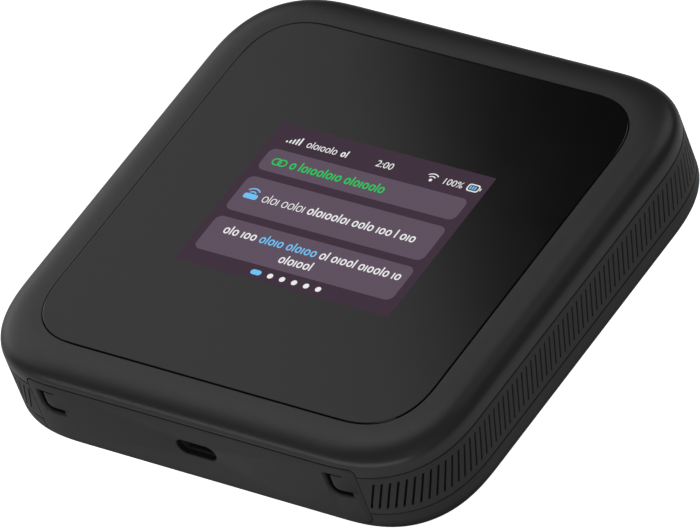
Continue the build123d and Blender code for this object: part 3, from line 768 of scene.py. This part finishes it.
def buildBand(look):
    s = bandSizes
    clear = panelHigh.x + seam
    start = distanceAt(nearSide) + clear
    span = roundLength - 2 * clear
    count = int((span - 2 * s["endLand"]) / s["pitch"])
    lean = s["lean"] * (s["grooveHigh"] - s["grooveLow"])
    first = (span - count * s["pitch"] + lean) / 2
    columns = [0.0]
    for i in range(count):
        middle = first + (i + 0.5) * s["pitch"]
        columns += [middle - s["groove"] / 2, middle + s["groove"] / 2]
    columns.append(span)
    pocketTop = s["grooveLow"] + s["pocketHeight"]
    rows = [bandLow.z, bandLow.z + s["edge"], s["grooveLow"]]
    for i in range(s["rowSteps"] + 1):
        rows.append(pocketTop + (s["grooveHigh"] - pocketTop) * i / s["rowSteps"])
    rows += [bandHigh.z - s["edge"], bandHigh.z]
    wide, tall = len(columns) - 1, len(rows) - 1
    deselectAll()
    bpy.ops.mesh.primitive_grid_add(x_subdivisions=wide, y_subdivisions=tall, size=2)
    band = bpy.context.object
    band.name = "ribbedBand"
    # the flat strip: x is the distance round the body, y the height, z outwards
    for vert in band.data.vertices:
        column = round((vert.co.x + 1) / 2 * wide)
        row = round((vert.co.y + 1) / 2 * tall)
        height = min(max(rows[row], s["grooveLow"]), s["grooveHigh"])
        inner = 0 < column < wide
        shift = s["lean"] * (height - s["grooveHigh"]) if inner else 0
        vert.co = (columns[column] + shift, rows[row], 0)
    wall = band.modifiers.new("wall", "SOLIDIFY")
    wall.thickness = s["thickness"]
    wall.offset = -1
    bpy.ops.object.modifier_apply(modifier=wall.name)
    buttonPlace = (distanceAt(farSide) - start) % roundLength

    def inGroove(face):
        # a groove's middle is worked out on the strip before it leans
        spot = face.calc_center_median()
        if face.normal.z < 0.9 or not s["grooveLow"] < spot.y < s["grooveHigh"]:
            return False
        unleaned = spot.x - s["lean"] * (spot.y - s["grooveHigh"]) - first
        middle = first + (unleaned // s["pitch"] + 0.5) * s["pitch"] - lean / 2
        if abs(middle - buttonPlace) < s["buttonClear"]:
            return False
        fromMiddle = abs(unleaned % s["pitch"] - s["pitch"] / 2)
        return 0 < unleaned < count * s["pitch"] and fromMiddle < s["groove"] / 2

    editBegin(band)
    pick("FACE", inGroove)
    bpy.ops.mesh.inset(thickness=s["slope"], depth=-s["depthTop"], use_even_offset=False)
    mesh = openMesh()
    for vert in mesh.verts:
        if -s["thickness"] * 0.9 < vert.co.z < -s["cut"]:
            share = (s["grooveHigh"] - vert.co.y) / (s["grooveHigh"] - s["grooveLow"])
            vert.co.z = -(s["depthTop"] + share * (s["depthLow"] - s["depthTop"]))
            if vert.co.y < s["grooveLow"] + 0.9 * s["pocketHeight"]:
                vert.co.z = -s["pocket"]
    # the depth below the surface, which sets the painted shade in the grooves
    inward = mesh.verts.layers.float.new("inward")
    for vert in mesh.verts:
        vert[inward] = -vert.co.z
        fromRim = min(vert.co.y - bandLow.z, bandHigh.z - vert.co.y)
        onRim = vert.co.z > -s["edge"] and fromRim < s["cut"] / 2
        inset = s["edge"] if onRim else -vert.co.z
        vert.co = outlinePoint(alongAt(start + vert.co.x), inset, vert.co.y)
    fixNormals()
    editEnd()
    # the button's flange stays behind the band, and its cap comes through
    shrink = s["buttonFlange"] - s["buttonGap"]
    cutter = slotBox(
        "buttonSlot", (buttonLow.x + shrink, half - through, buttonLow.z + shrink),
        (buttonHigh.x - shrink, half + mm, buttonHigh.z - shrink),
    )
    cutAway(band, cutter)
    return place(band, look, "housing", "band_plastic", "ribbed_band", angle=30)


# port panel and the two antenna covers
panelSizes = {
    "thickness": 1.8 * mm, "topRound": 1.2 * mm, "lowRound": 1.8 * mm, "edge": 0.12 * mm,
    "slotHalf": 4.52 * mm, "slotHalfHeight": 1.75 * mm, "slotBevel": 0.3 * mm, "sliceStep": 0.6 * mm,
    # how deep the painted shade in the openings and the finger recess starts and is full; the roughness
    # rises there too
    "sliceEnd": 0.3 * mm, "dullShadeFrom": 0.02 * mm, "dullShadeFull": 0.4 * mm,
}
flapSizes = {
    "length": 4.13 * mm, "height": 3.8 * mm, "thickness": 1.5 * mm, "hingeEnd": 0.87 * mm,
    "slit": 1.3 * mm, "topSlit": 0.3 * mm, "topSlitEnd": 1.5 * mm, "cornerRound": 1.25 * mm,
    "openingRound": 2.1 * mm, "smallRound": 0.3 * mm, "recess": 0.7 * mm, "recessDepth": 0.42 * mm,
    "recessRound": 2.7 * mm, "recessEnd": 0.5 * mm, "recessDrop": 0.02 * mm, "recessLean": 0.9,
    "slitReach": -0.75 * mm, "edge": 0.12 * mm, "bendStart": 0.87 * mm, "bendEnd": 0.6 * mm,
    "bendStep": 0.147 * mm, "bendExtra": 0.3 * mm, "bendRest": 0.05 * mm, "leafCuts": 4,
    "plugRadius": 1.1 * mm, "plugHeight": 0.5 * mm, "plugPlace": 3.0 * mm, "plugEdge": 0.15 * mm,
}


def hingeOf(side):
    for joint in frame["joints"]:
        if joint["name"] == f"antenna_cover_{side}_hinge":
            return Vector(joint["pos_m"])


def roundCorner(x, z, radius):
    # rounds the edge of an open box that runs along Y at the given corner
    roundEdges(
        lambda edge: runsAlongY(edge) and allNear(edge, 0, x) and allNear(edge, 2, z), radius, 7
    )


def openingCutters(hinge):
    s = flapSizes
    bottom, top = hinge.z - s["height"] / 2, hinge.z + s["height"] / 2 + s["topSlit"]
    left = hinge.x - s["length"] - s["slit"]
    low = bottom - s["slit"]
    right = hinge.x + s["slitReach"]
    main = box("opening", (left, -half - mm, low), (right, -half + through, top))
    editBegin(main)
    roundCorner(left, low, s["openingRound"])
    roundCorner(left, top, s["smallRound"])
    roundCorner(right, low, s["smallRound"] * 0.8)
    editEnd()
    strap = box(
        "strapSeat", (hinge.x - mm, -half - mm, bottom), (hinge.x + s["hingeEnd"], -half + through, top)
    )
    # the finger recess: a pocket whose left and lower walls slope in to the opening
    outLeft, outLow, outTop = left - s["recess"], low - s["recess"], top - s["recessDrop"]
    outRight = right + s["recessEnd"]
    recess = box("recess", (outLeft, -half, outLow), (outRight, -half + s["recessDepth"], outTop))
    editBegin(recess)
    roundCorner(outLeft, outLow, s["recessRound"])
    roundCorner(outLeft, outTop, s["smallRound"] * 2)
    roundCorner(outRight, outLow, s["recessEnd"])
    for vert in openMesh().verts:
        if vert.co.y > -half + s["recessDepth"] / 2:
            fromRight = (vert.co.x - outRight) / (outLeft - outRight)
            fromTop = (vert.co.z - outTop) / (outLow - outTop)
            vert.co.x += s["recess"] * fromRight - s["recessEnd"] * s["recessLean"] * (1 - fromRight)
            vert.co.z += s["recess"] * fromTop
        else:
            vert.co.y = -half - tiny
    fixNormals()
    editEnd()
    return main, strap, recess


def wrapFront():
    # bends the flat -Y pieces round the body's corners
    mesh = openMesh()
    # the depth behind the front face, which sets the painted shade in the openings
    inward = mesh.verts.layers.float.new("inward")
    for vert in mesh.verts:
        vert[inward] = vert.co.y + half
        vert.co.y += retreatAt(vert.co.x)


def buildPanel(look, hinges):
    s = panelSizes
    low = Vector((panelLow.x, -half, panelLow.z))
    high = Vector((panelHigh.x, -half + s["thickness"], panelHigh.z))
    panel = box("portPanel", low, high)
    editBegin(panel)
    for x in (low.x, high.x):
        roundCorner(x, high.z, s["topRound"])
        roundCorner(x, low.z, s["lowRound"])
    roundEdges(lambda edge: allNear(edge, 1, -half, tiny), s["edge"], 2)
    fixNormals()
    editEnd()
    shellLow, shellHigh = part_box("usb_shell")
    usbMiddle = (shellLow.z + shellHigh.z) / 2
    slot = slotBox(
        "usbSlot", (-s["slotHalf"], -half - mm, usbMiddle - s["slotHalfHeight"]),
        (s["slotHalf"], -half + through, usbMiddle + s["slotHalfHeight"]),
    )
    cutAway(panel, slot)
    editBegin(panel)
    roundEdges(
        lambda edge: allNear(edge, 1, -half, tiny) and allNear(edge, 0, 0, s["slotHalf"] + 0.1 * mm)
        and allNear(edge, 2, usbMiddle, s["slotHalfHeight"] + 0.1 * mm), s["slotBevel"], 3,
    )
    editEnd()
    for hinge in hinges:
        for cutter in openingCutters(hinge):
            cutAway(panel, cutter)
    editBegin(panel)
    places = []
    x = half - outline["cornerReach"] - s["sliceStep"]
    while x < panelHigh.x - s["sliceEnd"]:
        places += [x, -x]
        x += s["sliceStep"]
    sliceAcross(places)
    wrapFront()
    fixNormals()
    editEnd()
    return place(panel, look, "housing", "panel_plastic", "port_panel", angle=28)


def buildFlap(side, look, hinge):
    s = flapSizes
    bottom, step = hinge.z - s["height"] / 2, hinge.z + s["height"] / 2
    top = step + s["topSlit"]
    left, right = hinge.x - s["length"], hinge.x + s["hingeEnd"]
    flap = box(f"antennaFlap.{side}", (left, -half, bottom), (right, -half + s["thickness"], top))
    notch = box(
        "step", (left - mm, -half - mm, step), (hinge.x - s["topSlitEnd"], -half + through, top + mm)
    )
    cutAway(flap, notch)
    editBegin(flap)
    roundCorner(left, bottom, s["cornerRound"])
    roundCorner(left, step, s["smallRound"])
    roundEdges(
        lambda edge: allNear(edge, 1, -half, tiny) and middleOf(edge).x < hinge.x - s["bendEnd"]
        and middleOf(edge).z < step + 10 * tiny, s["edge"], 2,
    )
    places = []
    x = hinge.x - s["bendEnd"] - s["bendExtra"]
    while x < right - s["bendRest"]:
        places.append(x)
        x += s["bendStep"]
    sliceAcross(places + [left + (i + 1) * mm for i in range(s["leafCuts"])])
    wrapFront()
    fixNormals()
    editEnd()
    # a round plug on the inside, which closes the jack
    plugX = hinge.x - s["plugPlace"]
    plugY = -half + retreatAt(plugX) + s["thickness"]
    plug = roundPin(s["plugRadius"], 2 * s["plugHeight"], (plugX, plugY, hinge.z), math.pi / 2)
    editBegin(plug)
    roundEdges(lambda edge: allNear(edge, 1, plugY + s["plugHeight"]), s["plugEdge"], 3)
    editEnd()
    joinTo(flap, [plug])
    ends = (
        Vector((hinge.x + s["bendStart"], hinge.y, hinge.z)),
        Vector((hinge.x - s["bendEnd"], hinge.y, hinge.z)),
    )
    return place(
        flap, look, f"antenna_cover_{side}", "port_rubber", f"antenna_cover_{side}",
        angle=30, blend=ends,
    )


# back cover
coverSizes = {
    "baseHeight": 5.0 * mm, "baseInset": 6.0 * mm, "steps": 14, "wall": 1.4 * mm, "edge": 0.12 * mm,
    "notchRound": 1.95 * mm, "notchDepth": 2.3 * mm, "catchWidth": 8.0 * mm, "catchThick": 1.0 * mm,
    "catchTop": 8.3 * mm, "catchPlace": 20.0 * mm, "catchInset": 3.7 * mm, "catchHook": 0.2 * mm,
    "catchSink": 0.1 * mm,
    "floorRings": (9 * mm, 9.25 * mm, 9.75 * mm, 10 * mm, 16 * mm), "groove": 0.18 * mm,
}


def buildBackCover(look):
    s = coverSizes
    rimTop = bandLow.z - seam
    rings = []
    for inset in reversed(s["floorRings"]):
        grooved = s["floorRings"][1] <= inset <= s["floorRings"][2]
        rings.append((inset, s["groove"] if grooved else 0))
    for i in range(s["steps"] + 1):
        angle = math.radians(90 * (1 - i / s["steps"]))
        rings.append((s["baseInset"] * (1 - math.cos(angle)), s["baseHeight"] * (1 - math.sin(angle))))
    rings += [(0, rimTop - s["edge"]), (s["edge"], rimTop), (s["wall"], rimTop)]
    wall = s["wall"]
    for i in range(s["steps"], -1, -1):
        angle = math.radians(90 * (1 - i / s["steps"]))
        inset = wall + (s["baseInset"] - wall) * (1 - math.cos(angle))
        rings.append((inset, s["baseHeight"] - (s["baseHeight"] - wall) * math.sin(angle)))
    rings.append((s["floorRings"][-1], wall))
    cover = ringShell("backCover", rings, "caps")
    notchHalf = panelHigh.x + seam
    low = panelLow.z - seam
    cutter = box("notch", (-notchHalf, -half - mm, low), (notchHalf, -half + s["notchDepth"], rimTop + mm))
    editBegin(cutter)
    for x in (-notchHalf, notchHalf):
        roundCorner(x, low, s["notchRound"])
    editEnd()
    cutAway(cover, cutter)
    catches = []
    reach = half - s["catchInset"]
    side = s["catchPlace"]
    spots = [(x, y) for x in (-reach, reach) for y in (side, -side)] + [(-side, reach), (side, reach)]
    for x, y in spots:
        wide, deep = s["catchThick"] / 2, s["catchWidth"] / 2
        if y == reach:
            wide, deep = deep, wide
        foot = (x - wide, y - deep, wall - s["catchSink"])
        catch = box("catch", foot, (x + wide, y + deep, s["catchTop"]))
        editBegin(catch)
        roundEdges(lambda edge: allNear(edge, 2, s["catchTop"]), s["catchHook"], 2)
        editEnd()
        catches.append(catch)
    joinTo(cover, catches)
    return place(cover, look, "back_cover", "cover_plastic", "back_cover", angle=35)


# lit display
screenSizes = {
    "halfWide": 25.03 * mm, "halfTall": 18.77 * mm, "cardHalf": 23.1 * mm, "cardRound": 1.5 * mm,
    "layer": 0.004 * mm, "stroke": 0.2 * mm, "boldStroke": 0.32 * mm, "rowPitch": 0.11 * mm,
    "rowDim": 0.94, "lineTall": 2.2 * mm,
    # shares of a line's height
    "small": 0.72, "letter": 0.56, "barGap": 0.13, "letterGap": 0.11, "wordGap": 0.3,
}
screenColours = {
    "plum": (0.054, 0.034, 0.052), "card": (0.120, 0.085, 0.122), "white": (0.86, 0.86, 0.86),
    "green": (0.01, 0.62, 0.10), "blue": (0.17, 0.55, 0.93),
}
# each card's lowest and highest edge, from the middle of the display
cards = ((6.6 * mm, 12.3 * mm), (-4.4 * mm, 4.7 * mm), (-15.1 * mm, -6.2 * mm))
fieldLevel, cardLevel, markLevel = 1, 2, 3  # layers over the glass


def layerHeight(level):
    return lensHigh.z - lensSizes["topDrop"] + level * screenSizes["layer"]


def flatShape(points, level, holes=()):
    # a thin plate from a closed outline, with openings cut by even-odd filling
    curve = bpy.data.curves.new("flat", "CURVE")
    curve.dimensions = "2D"
    curve.fill_mode = "BOTH"
    for ring in (points, *holes):
        spline = curve.splines.new("POLY")
        spline.points.add(len(ring) - 1)
        for point, (x, y) in zip(spline.points, ring):
            point.co = (x, y, 0, 1)
        spline.use_cyclic_u = True
    curve.extrude = screenSizes["layer"] / 2
    shape = addObject("flat", curve)
    shape.location.z = layerHeight(level)
    return shape


def arcPoints(x, y, radius, first, last, count):
    points = []
    for i in range(count + 1):
        angle = math.radians(first + (last - first) * i / count)
        points.append((x + radius * math.cos(angle), y + radius * math.sin(angle)))
    return points


def roundRect(x0, y0, x1, y1, radius, count=5):
    radius = min(radius, (x1 - x0) / 2 * 0.999, (y1 - y0) / 2 * 0.999)
    points = []
    corners = ((x1, y1, 0), (x0, y1, 90), (x0, y0, 180), (x1, y0, 270))
    for x, y, first in corners:
        middleX = x + (radius if x == x0 else -radius)
        middleY = y + (radius if y == y0 else -radius)
        points += arcPoints(middleX, middleY, radius, first, first + 90, count)
    return points


def arcBand(x, y, radius, stroke, first, last):
    outer = arcPoints(x, y, radius + stroke / 2, first, last, 14)
    return outer + arcPoints(x, y, radius - stroke / 2, first, last, 14)[::-1]


def markBar(x0, y0, x1, y1, radius, holes=()):
    return flatShape(roundRect(x0, y0, x1, y1, radius), markLevel, holes)


def greekLine(x, y, height, words, stroke=screenSizes["boldStroke"]):
    # unreadable marks: rings and bars in the rhythm of words, and where the line ends
    s = screenSizes
    shapes = []
    small, wide = height * s["small"], height * s["letter"]
    turn = 0
    for letters in words:
        for _ in range(letters):
            turn += 1
            if turn % 5 in (2, 4):
                tall = height if turn % 5 == 2 else small
                shapes.append(markBar(x, y, x + stroke, y + tall, stroke / 2))
                x += stroke + height * s["barGap"]
            else:
                hole = roundRect(x + stroke, y + stroke, x + wide - stroke, y + small - stroke, small / 2)
                shapes.append(markBar(x, y, x + wide, y + small, small / 2, [hole]))
                x += wide + height * s["letterGap"]
        x += height * s["wordGap"]
    return shapes, x


def digits(text, x, y, size):
    # generic numbers only
    curve = bpy.data.curves.new("digits", "FONT")
    curve.body = text
    curve.size = size
    curve.align_x = "CENTER"
    curve.extrude = screenSizes["layer"] / 2
    shape = addObject("digits", curve)
    shape.location = (x, y, layerHeight(markLevel))
    return shape


def mergeShapes(name, shapes, look):
    # all marks of one colour become one piece
    deselectAll()
    for shape in shapes:
        shape.select_set(True)
    bpy.context.view_layer.objects.active = shapes[0]
    bpy.ops.object.convert(target="MESH")
    bpy.ops.object.join()
    piece = bpy.context.object
    bpy.ops.object.transform_apply(location=True, rotation=True, scale=True)
    piece.name = name
    editBegin(piece)
    fixNormals()
    editEnd()
    return place(piece, look, "housing", "display_glass", angle=20)


def statusRow(white, blue):
    # signal bars, a name, the time, wireless strength, charge and battery
    y = 14.35 * mm
    stroke = screenSizes["stroke"]
    for i in range(5):
        x = (-21.3 + i * 0.72) * mm
        white.append(markBar(x, y, x + 0.36 * mm, y + (0.5 + 0.36 * i) * mm, 0.12 * mm))
    shapes, x = greekLine(-16.6 * mm, y, 1.75 * mm, (8,), stroke)
    white += shapes
    white += greekLine(x + 0.3 * mm, y, 1.75 * mm, (2,), stroke * 1.5)[0]
    white.append(digits("2:00", 1.6 * mm, y, 2.3 * mm))
    wifiX, wifiY = 12.6 * mm, y + 0.1 * mm
    white.append(flatShape(arcPoints(wifiX, wifiY, 0.35 * mm, 0, 342, 19), markLevel))
    for radius in (0.95 * mm, 1.6 * mm):
        white.append(flatShape(arcBand(wifiX, wifiY, radius, stroke * 1.2, 45, 135), markLevel))
    white.append(digits("100%", 17.4 * mm, y, 2.2 * mm))
    left, low = 20.7 * mm, y - 0.1 * mm
    hole = roundRect(left + 0.27 * mm, low + 0.27 * mm, left + 2.43 * mm, low + 1.63 * mm, 0.4 * mm)
    white.append(markBar(left, low, left + 2.7 * mm, low + 1.9 * mm, 0.6 * mm, [hole]))
    white.append(markBar(left + 2.85 * mm, low + 0.6 * mm, left + 3.1 * mm, low + 1.3 * mm, 0.1 * mm))
    for i in range(3):
        x = left + (0.55 + 0.55 * i) * mm
        blue.append(markBar(x, low + 0.5 * mm, x + 0.34 * mm, low + 1.4 * mm, 0.08 * mm))


def firstCard(green):
    # a chain mark and one green line
    low, high, wall = 8.4 * mm, 10.2 * mm, 0.27 * mm
    for level, x in ((markLevel, -19.9 * mm), (markLevel + 1, -18.6 * mm)):
        left, right = x - 1.05 * mm, x + 1.05 * mm
        hole = roundRect(left + wall, low + wall, right - wall, high - wall, 0.63 * mm)
        green.append(flatShape(roundRect(left, low, right, high, 0.9 * mm), level, [hole]))
    green += greekLine(-16.7 * mm, low, 2.25 * mm, (1, 9, 8))[0]


def secondCard(white, blue):
    # a router mark and one white line
    low, tall = -0.8 * mm, screenSizes["lineTall"]
    blue.append(markBar(-21.3 * mm, low, -18.1 * mm, low + 1.3 * mm, 0.5 * mm))
    for radius in (0.9 * mm, 1.7 * mm):
        band = arcBand(-19.7 * mm, low + 0.95 * mm, radius, 0.32 * mm, 40, 140)
        blue.append(flatShape(band, markLevel))
    shapes, x = greekLine(-16.9 * mm, low, tall, (4, 5), screenSizes["stroke"])
    white += shapes
    white += greekLine(x, low, tall, (9, 4, 3, 1, 3))[0]


def thirdCard(white, blue):
    # two centred lines, with a few words in blue
    x, y, tall = -19.6 * mm, -10.1 * mm, screenSizes["lineTall"]
    for colour, words in ((white, (3, 3)), (blue, (5, 6)), (white, (2, 5, 6, 2))):
        shapes, x = greekLine(x, y, tall, words)
        colour.extend(shapes)
    white += greekLine(-4.4 * mm, y - 3.3 * mm, tall, (7,))[0]


def pageMarks(white, blue):
    y, radius = -16.9 * mm, 0.62 * mm
    blue.append(markBar(-8.1 * mm, y - radius, -5.7 * mm, y + radius, radius))
    for i in range(5):
        dot = arcPoints((-3.6 + i * 2.8) * mm, y, radius, 0, 345, 23)
        white.append(flatShape(dot, markLevel))


def buildScreen(looks):
    s = screenSizes
    wide, tall, cardHalf = s["halfWide"], s["halfTall"], s["cardHalf"]
    field = flatShape(roundRect(-wide, -tall, wide, tall, 0.05 * mm), fieldLevel)
    mergeShapes("screenField", [field], looks["plum"])
    panels = []
    for low, high in cards:
        panels.append(flatShape(roundRect(-cardHalf, low, cardHalf, high, s["cardRound"]), cardLevel))
    mergeShapes("screenCards", panels, looks["card"])
    white, green, blue = [], [], []
    statusRow(white, blue)
    firstCard(green)
    secondCard(white, blue)
    thirdCard(white, blue)
    pageMarks(white, blue)
    mergeShapes("screenWhite", white, looks["white"])
    mergeShapes("screenGreen", green, looks["green"])
    mergeShapes("screenBlue", blue, looks["blue"])


# finishes of the pieces that keep their own shape
def finishNodes():
    frameNylon = mouldedPlastic("frameNylon", 0.04, 0.55, (0.2 * mm, 0.02 * mm))
    nylon = mouldedPlastic("connectorNylon", 0.014, 0.5, (0.12 * mm, 0.008 * mm))
    foam = mouldedPlastic("adhesiveFoam", 0.008, 0.9, (0.08 * mm, 0.05 * mm), specular=0.2)
    silicone = mouldedPlastic("siliconePad", 0.34, 0.7, (0.25 * mm, 0.02 * mm), specular=0.4, tint=0.25)
    backlight = mouldedPlastic("backlightFrame", 0.7, 0.45, (0.3 * mm, 0.006 * mm))
    glass = mouldedPlastic("panelGlass", 0.01, 0.16, (0.6 * mm, 0.0005 * mm))
    bracket = sheetMetal("bracketSteel", (0.56, 0.56, 0.54, 1), 0.36)
    drawn = sheetMetal("drawnSteel", (0.62, 0.61, 0.59, 1), 0.3, (1, 10, 1))
    plated = sheetMetal("goldPlate", (0.83, 0.58, 0.22, 1), 0.26)
    spreader = sheetMetal("spreaderAluminium", (0.75, 0.75, 0.76, 1), 0.34, (16, 1, 1))
    zinc = sheetMetal("blackZinc", (0.1, 0.1, 0.105, 1), 0.36)
    tin = shieldTin("shieldTin")
    epoxy = chipEpoxy("chipEpoxy")
    copper = aerialFoil("aerialCopper")
    looks = {
        "mid_frame": frameNylon, "lens_adhesive": foam, "thermal_pad": silicone,
        "backlight_unit": backlight, "lcd_panel": glass, "display_bracket": bracket,
        "usb_shell": drawn, "heat_spreader": spreader, "main_board": boardMask("boardMask"),
        "display_flex": flexFilm("flexFilm"), "battery_pack": batteryWrap("batteryWrap"),
        "power_button": buttonCap("buttonCap"), "sim_holder": drawn, "power_switch": drawn,
        "housing_screws": zinc, "board_screws": zinc, "battery_blades": plated,
    }
    for name in ("usb_tongue", "display_connector", "contact_block", "switch_plunger"):
        looks[name] = nylon
    for name in ("modem", "wifi", "power"):
        looks[name + "_shield"] = tin
        looks[name + "_chip"] = epoxy
    for side in ("left", "right"):
        looks["cover_pin_" + side] = zinc
        looks["antenna_jack_" + side] = plated
        looks["jack_contact_" + side] = plated
        looks["aerial_" + side + "_front"] = copper
        looks["aerial_" + side + "_rear"] = copper
    for name, look in looks.items():
        data = nodes[name].data
        if data.materials:
            for i in range(len(data.materials)):
                data.materials[i] = look
        else:
            data.materials.append(look)


# making everything
bezelLook = mouldedPlastic("bezelSatin", 0.03, 0.34, plastic["satinGrain"])
# the band and the panel get painted shade deep in their grooves and openings
bandLook = mouldedPlastic("bandMatte", 0.028, 0.5, plastic["satinGrain"], dullAndShaded=bandSizes)
panelLook = mouldedPlastic("panelSatin", 0.019, 0.44, plastic["satinGrain"], dullAndShaded=panelSizes)
coverLook = mouldedPlastic("coverPebble", 0.024, 0.5, (0.35 * mm, 0.03 * mm))
finishNodes()
print("finishes made")
buildBezel(bezelLook)
print("bezel made")
buildLens(lensGlass())
print("lens made")
buildBand(bandLook)
print("band made")
hinges = {side: hingeOf(side) for side in ("left", "right")}
buildPanel(panelLook, hinges.values())
for side, hinge in hinges.items():
    buildFlap(side, panelLook, hinge)
print("port panel and covers made")
buildBackCover(coverLook)
print("back cover made")
screenLooks = {}
for name, colour in screenColours.items():
    screenLooks[name] = litScreen("screen" + name.capitalize(), colour)
buildScreen(screenLooks)
print("screen made")

# camera
cameraSizes = {
    "azimuth": 48.711, "elevation": 41.3, "roll": 21.66, "distance": 1837.15 * mm, "lens": 508.2,
    "aim": Vector((4.129, -4.263, 14.767)) * mm, "sensor": 36, "clipStart": 0.1, "clipEnd": 20,
}


def wayTo(azimuth, elevation):
    # azimuth 0 is -Y and 90 is +X
    turn, rise = math.radians(azimuth), math.radians(elevation)
    return Vector((math.sin(turn) * math.cos(rise), -math.cos(turn) * math.cos(rise), math.sin(rise)))


def addCamera():
    s = cameraSizes
    roll = math.radians(s["roll"])
    back = wayTo(s["azimuth"], s["elevation"])
    right = Vector((0, 0, 1)).cross(back).normalized()
    up = back.cross(right)
    tiltedUp = up * math.cos(roll) + right * math.sin(roll)
    tiltedRight = right * math.cos(roll) - up * math.sin(roll)
    data = bpy.data.cameras.new("camera")
    data.lens = s["lens"]
    data.sensor_width = s["sensor"]
    data.clip_start = s["clipStart"]
    data.clip_end = s["clipEnd"]
    camera = addObject("camera", data)
    turn = Matrix((tiltedRight, tiltedUp, back)).transposed().to_4x4()
    camera.matrix_world = Matrix.Translation(s["aim"] + back * s["distance"]) @ turn
    bpy.context.scene.camera = camera
    return camera.matrix_world.translation.copy()


# light
lightSizes = {
    "fadeTurn": math.radians(34.0), "fadePlace": 19.5 * mm, "backDistance": 1.6, "backSize": 1.6,
    "backPower": 0.76, "distance": 1.5, "above": 0.02, "below": 0.42,
    # heights, from straight down at 0 to straight up at 1, where the glow starts, is full, wanes and ends
    "glow": (0.06, 0.16, 0.35, 0.53),
    # azimuth, elevation, width, height and brightness
    "sheets": {
        "frontSheet": (4, 15, 2.9, 0.55, 1.6),
        "topSheet": (218, 61, 0.55, 0.5, 1.1),
        "sideSheet": (262, 10, 1.3, 0.8, 0.7),
        "farSheet": (170, 38, 0.7, 0.9, 0.9),
        "fillSheet": (52, 44, 1.2, 1.2, 1.5),
    },
}


def sheetLight(name, middle, across, back, wide, tall, power):
    # a rectangular light whose width runs along across and which shines along -back
    data = bpy.data.lights.new(name, "AREA")
    data.shape = "RECTANGLE"
    data.size = wide
    data.size_y = tall
    # power is the brightness of the sheet itself
    data.energy = power * math.pi * wide * tall
    lamp = addObject(name, data)
    across = (across - across.dot(back) * back).normalized()
    turned = Matrix((across, back.cross(across), back)).transposed().to_4x4()
    lamp.matrix_world = Matrix.Translation(middle) @ turned
    lamp.visible_camera = False
    return lamp


def addLights(cameraPlace):
    s = lightSizes
    top = Vector((0, 0, cadHigh.z))
    # the back sheet ends where the lens mirrors its edge, so that the lens darkens to one side
    fade = Vector((math.cos(s["fadeTurn"]), math.sin(s["fadeTurn"]), 0))
    edge = top + fade * s["fadePlace"]
    ray = (edge - cameraPlace).normalized()
    back = Vector((ray.x, ray.y, -ray.z))
    inward = -(fade - fade.dot(back) * back).normalized()
    middle = edge + back * s["backDistance"] + inward * s["backSize"] / 2
    sheetLight("backSheet", middle, inward, back, s["backSize"], s["backSize"], s["backPower"])
    for name, (azimuth, elevation, wide, tall, power) in s["sheets"].items():
        back = wayTo(azimuth, elevation)
        across = Vector((0, 0, 1)).cross(back)
        lamp = sheetLight(name, top + back * s["distance"], across, back, wide, tall, power)
        lamp.visible_glossy = name != "fillSheet"  # the fill leaves no highlight


def addWorld():
    # dim overhead and straight below, with a pale floor's light all round
    look = Look("studio", world=True)
    height = look.node("ShaderNodeMapRange", values={"Value": look.axis("Z"), "From Min": -1})
    dark, light = grey(lightSizes["above"]), grey(lightSizes["below"])
    stops = ((0, dark), *zip(lightSizes["glow"], (dark, light, light, dark)))
    glow = look.node("ShaderNodeValToRGB", {"stops": stops}, {"Fac": height})
    sky = look.node("ShaderNodeBackground", values={"Color": glow})
    look.node("ShaderNodeOutputWorld", values={"Surface": sky})
    bpy.context.scene.world = look.owner


# far enough down for the released back cover
floorSizes = {"size": 12, "height": -31.5 * mm, "patch": 0.4, "glow": 0.95}


def addFloor():
    s = floorSizes
    deselectAll()
    bpy.ops.mesh.primitive_plane_add(size=s["size"], location=(0, 0, s["height"]))
    floor = bpy.context.object
    floor.name = "floor"
    look = Look("paleFloor")
    patch = look.grain(s["patch"])
    floor.data.materials.append(look.finish({
        "Base Color": look.blend(patch, grey(0.78), grey(0.82)),
        "Roughness": 0.9,
        "Emission Color": grey(1),
        "Emission Strength": s["glow"],
    }))
    # a plain backdrop: it neither mirrors in the lens nor lights the sides
    floor.visible_glossy = False
    floor.visible_diffuse = False
    floor.visible_shadow = False


addLights(addCamera())
addWorld()
addFloor()
bpy.context.scene.view_settings.view_transform = "Standard"
print("camera, lights and floor made")
